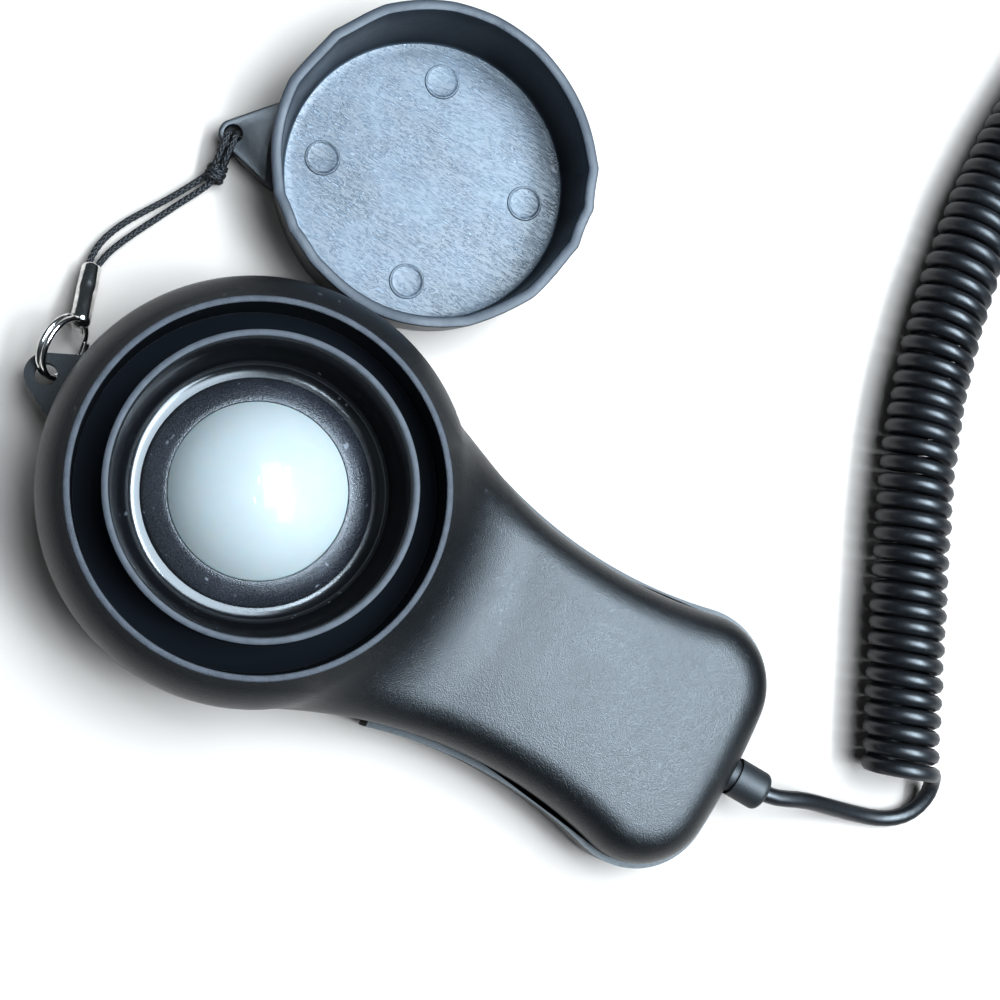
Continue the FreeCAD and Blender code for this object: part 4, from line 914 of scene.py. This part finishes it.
# %% [markdown]
# The dust cap is a thin cup of soft plastic, cast in a worn mould: its wall leans outwards, its
# rim is not round but falls in short flats, and four ejector pins left shallow rings in its
# floor. A cup is turned, its wall is pushed in between the corners of the flats, more towards
# the rim, and the tapered ear for the strap is joined on.

# %% Dust cap
CAP_FLATS, FLAT_DEPTH = 15, 0.34
CAP_HEIGHT = 12.4
CUP = [
    (21.4, 0.0), (22.2, 0.2), (22.6, 0.65), (22.75, 1.3), (23.0, 3.5), (23.3, 6.0), (23.65, 9.0),
    (24.0, 11.8), (24.05, 12.2), (23.95, 12.38), (23.75, 12.45), (22.75, 12.45), (22.55, 12.35),
    (22.45, 12.1), (22.2, 9.5), (21.85, 6.0), (21.5, 3.2), (21.25, 2.1), (21.0, 1.65), (20.5, 1.5),
]
cap = lathe("dust_cap_cup", CUP, 255)
bpy.ops.object.mode_set(mode="EDIT")
bpy.ops.mesh.select_all(action="DESELECT")
pick(cap, lambda v: math.hypot(v.co.x, v.co.y) < 20.6 * MM and v.co.z > MM)
bpy.ops.mesh.edge_face_add()
bpy.ops.mesh.inset(thickness=0.8 * MM, depth=0)
bpy.ops.object.mode_set(mode="OBJECT")
for vertex in cap.data.vertices:
    x, y, z = vertex.co
    angle = math.atan2(y, x)
    rise = max(0.0, (z / MM - 1.8) / (CAP_HEIGHT - 1.8))
    uneven = 0.35 * math.sin(3 * angle + 1) + 0.25 * math.sin(5 * angle)
    place = (angle / (2 * math.pi) * CAP_FLATS + uneven) % 1
    flat = 0.5 - 0.5 * math.cos(2 * math.pi * place) if abs(2 * place - 1) < 0.3 else 1 - (2 * place - 1) ** 2
    push = -FLAT_DEPTH * flat * (0.75 + 0.5 * math.sin(2 * angle + 2)) + 0.16 * math.sin(4 * angle + 1)
    push *= min(1.0, rise ** 1.2)
    scale = 1 + push * MM / max(math.hypot(x, y), MM)
    vertex.co.x, vertex.co.y = x * scale, y * scale
    if rise > 0.9:
        vertex.co.z += (0.10 * math.sin(7 * angle) + 0.08 * flat) * MM


def plain_disc(radius, place, depth, sides=24):
    bpy.ops.object.select_all(action="DESELECT")
    bpy.ops.mesh.primitive_cylinder_add(vertices=sides, radius=radius * MM, depth=depth * MM,
                                        location=tuple(v * MM for v in place))
    disc = bpy.context.object
    bpy.ops.object.transform_apply(location=True, rotation=True, scale=True)
    return disc


EAR_PLACE, EAR_TIP, EAR_LEVEL, EAR_THICK, EAR_HOLE = 29.1, 2.1, 1.9, 2.0, 1.3
ear_level = EAR_LEVEL + EAR_THICK / 2
roots = [plain_disc(0.4, (-22.2, side * 6.4, ear_level), EAR_THICK, 8) for side in (1, -1)]
ear = plain_disc(EAR_TIP, (-EAR_PLACE, 0, ear_level), EAR_THICK, 40)
for root in roots:
    root.select_set(True)
bpy.ops.object.join()
bpy.ops.object.mode_set(mode="EDIT")
bpy.ops.mesh.select_all(action="SELECT")
bpy.ops.mesh.convex_hull()
bpy.ops.mesh.tris_convert_to_quads()
bpy.ops.mesh.dissolve_limited(angle_limit=math.radians(1))
bpy.ops.object.mode_set(mode="OBJECT")
punch = plain_disc(EAR_HOLE, (-EAR_PLACE, 0, ear_level), EAR_THICK * 3, 32)
bpy.ops.object.select_all(action="DESELECT")
ear.select_set(True)
bpy.context.view_layer.objects.active = ear


def use_modifier(piece, kind, **settings):
    """Adds one modifier, sets it and applies it."""
    bpy.ops.object.select_all(action="DESELECT")
    piece.select_set(True)
    bpy.context.view_layer.objects.active = piece
    bpy.ops.object.modifier_add(type=kind)
    modifier = piece.modifiers[-1]
    for key, value in settings.items():
        setattr(modifier, key, value)
    bpy.ops.object.modifier_apply(modifier=modifier.name)


use_modifier(ear, "BOOLEAN", object=punch, operation="DIFFERENCE", solver="EXACT")
bpy.data.objects.remove(punch)
use_modifier(ear, "BEVEL", width=0.22 * MM, segments=3, limit_method="ANGLE", angle_limit=math.radians(40))
pads = []
for quarter in range(4):
    angle = math.radians(90 * quarter)
    spot = (15.6 * math.cos(angle), 15.6 * math.sin(angle))
    pad = lathe("ejector_ring", [
        (0.9, 1.52), (2.0, 1.56), (2.3, 1.6), (2.42, 1.7), (2.55, 1.7), (2.68, 1.5), (2.7, 1.4),
    ], 32)
    pad.data.transform(Matrix.Translation((spot[0] * MM, spot[1] * MM, 0)))
    pads.append(pad)
bpy.ops.object.select_all(action="DESELECT")
for part in (cap, ear, *pads):
    part.select_set(True)
bpy.context.view_layer.objects.active = cap
bpy.ops.object.join()
cap_place = Matrix.Translation(Vector((-2.0, 54.5, 0)) * MM) @ Matrix.Rotation(math.radians(20), 4, "Z")
settle(cap, cap_place, "cap_plastic", "cap", "dust_cap", smooth=38)
print("cap faces", len(cap.data.polygons))
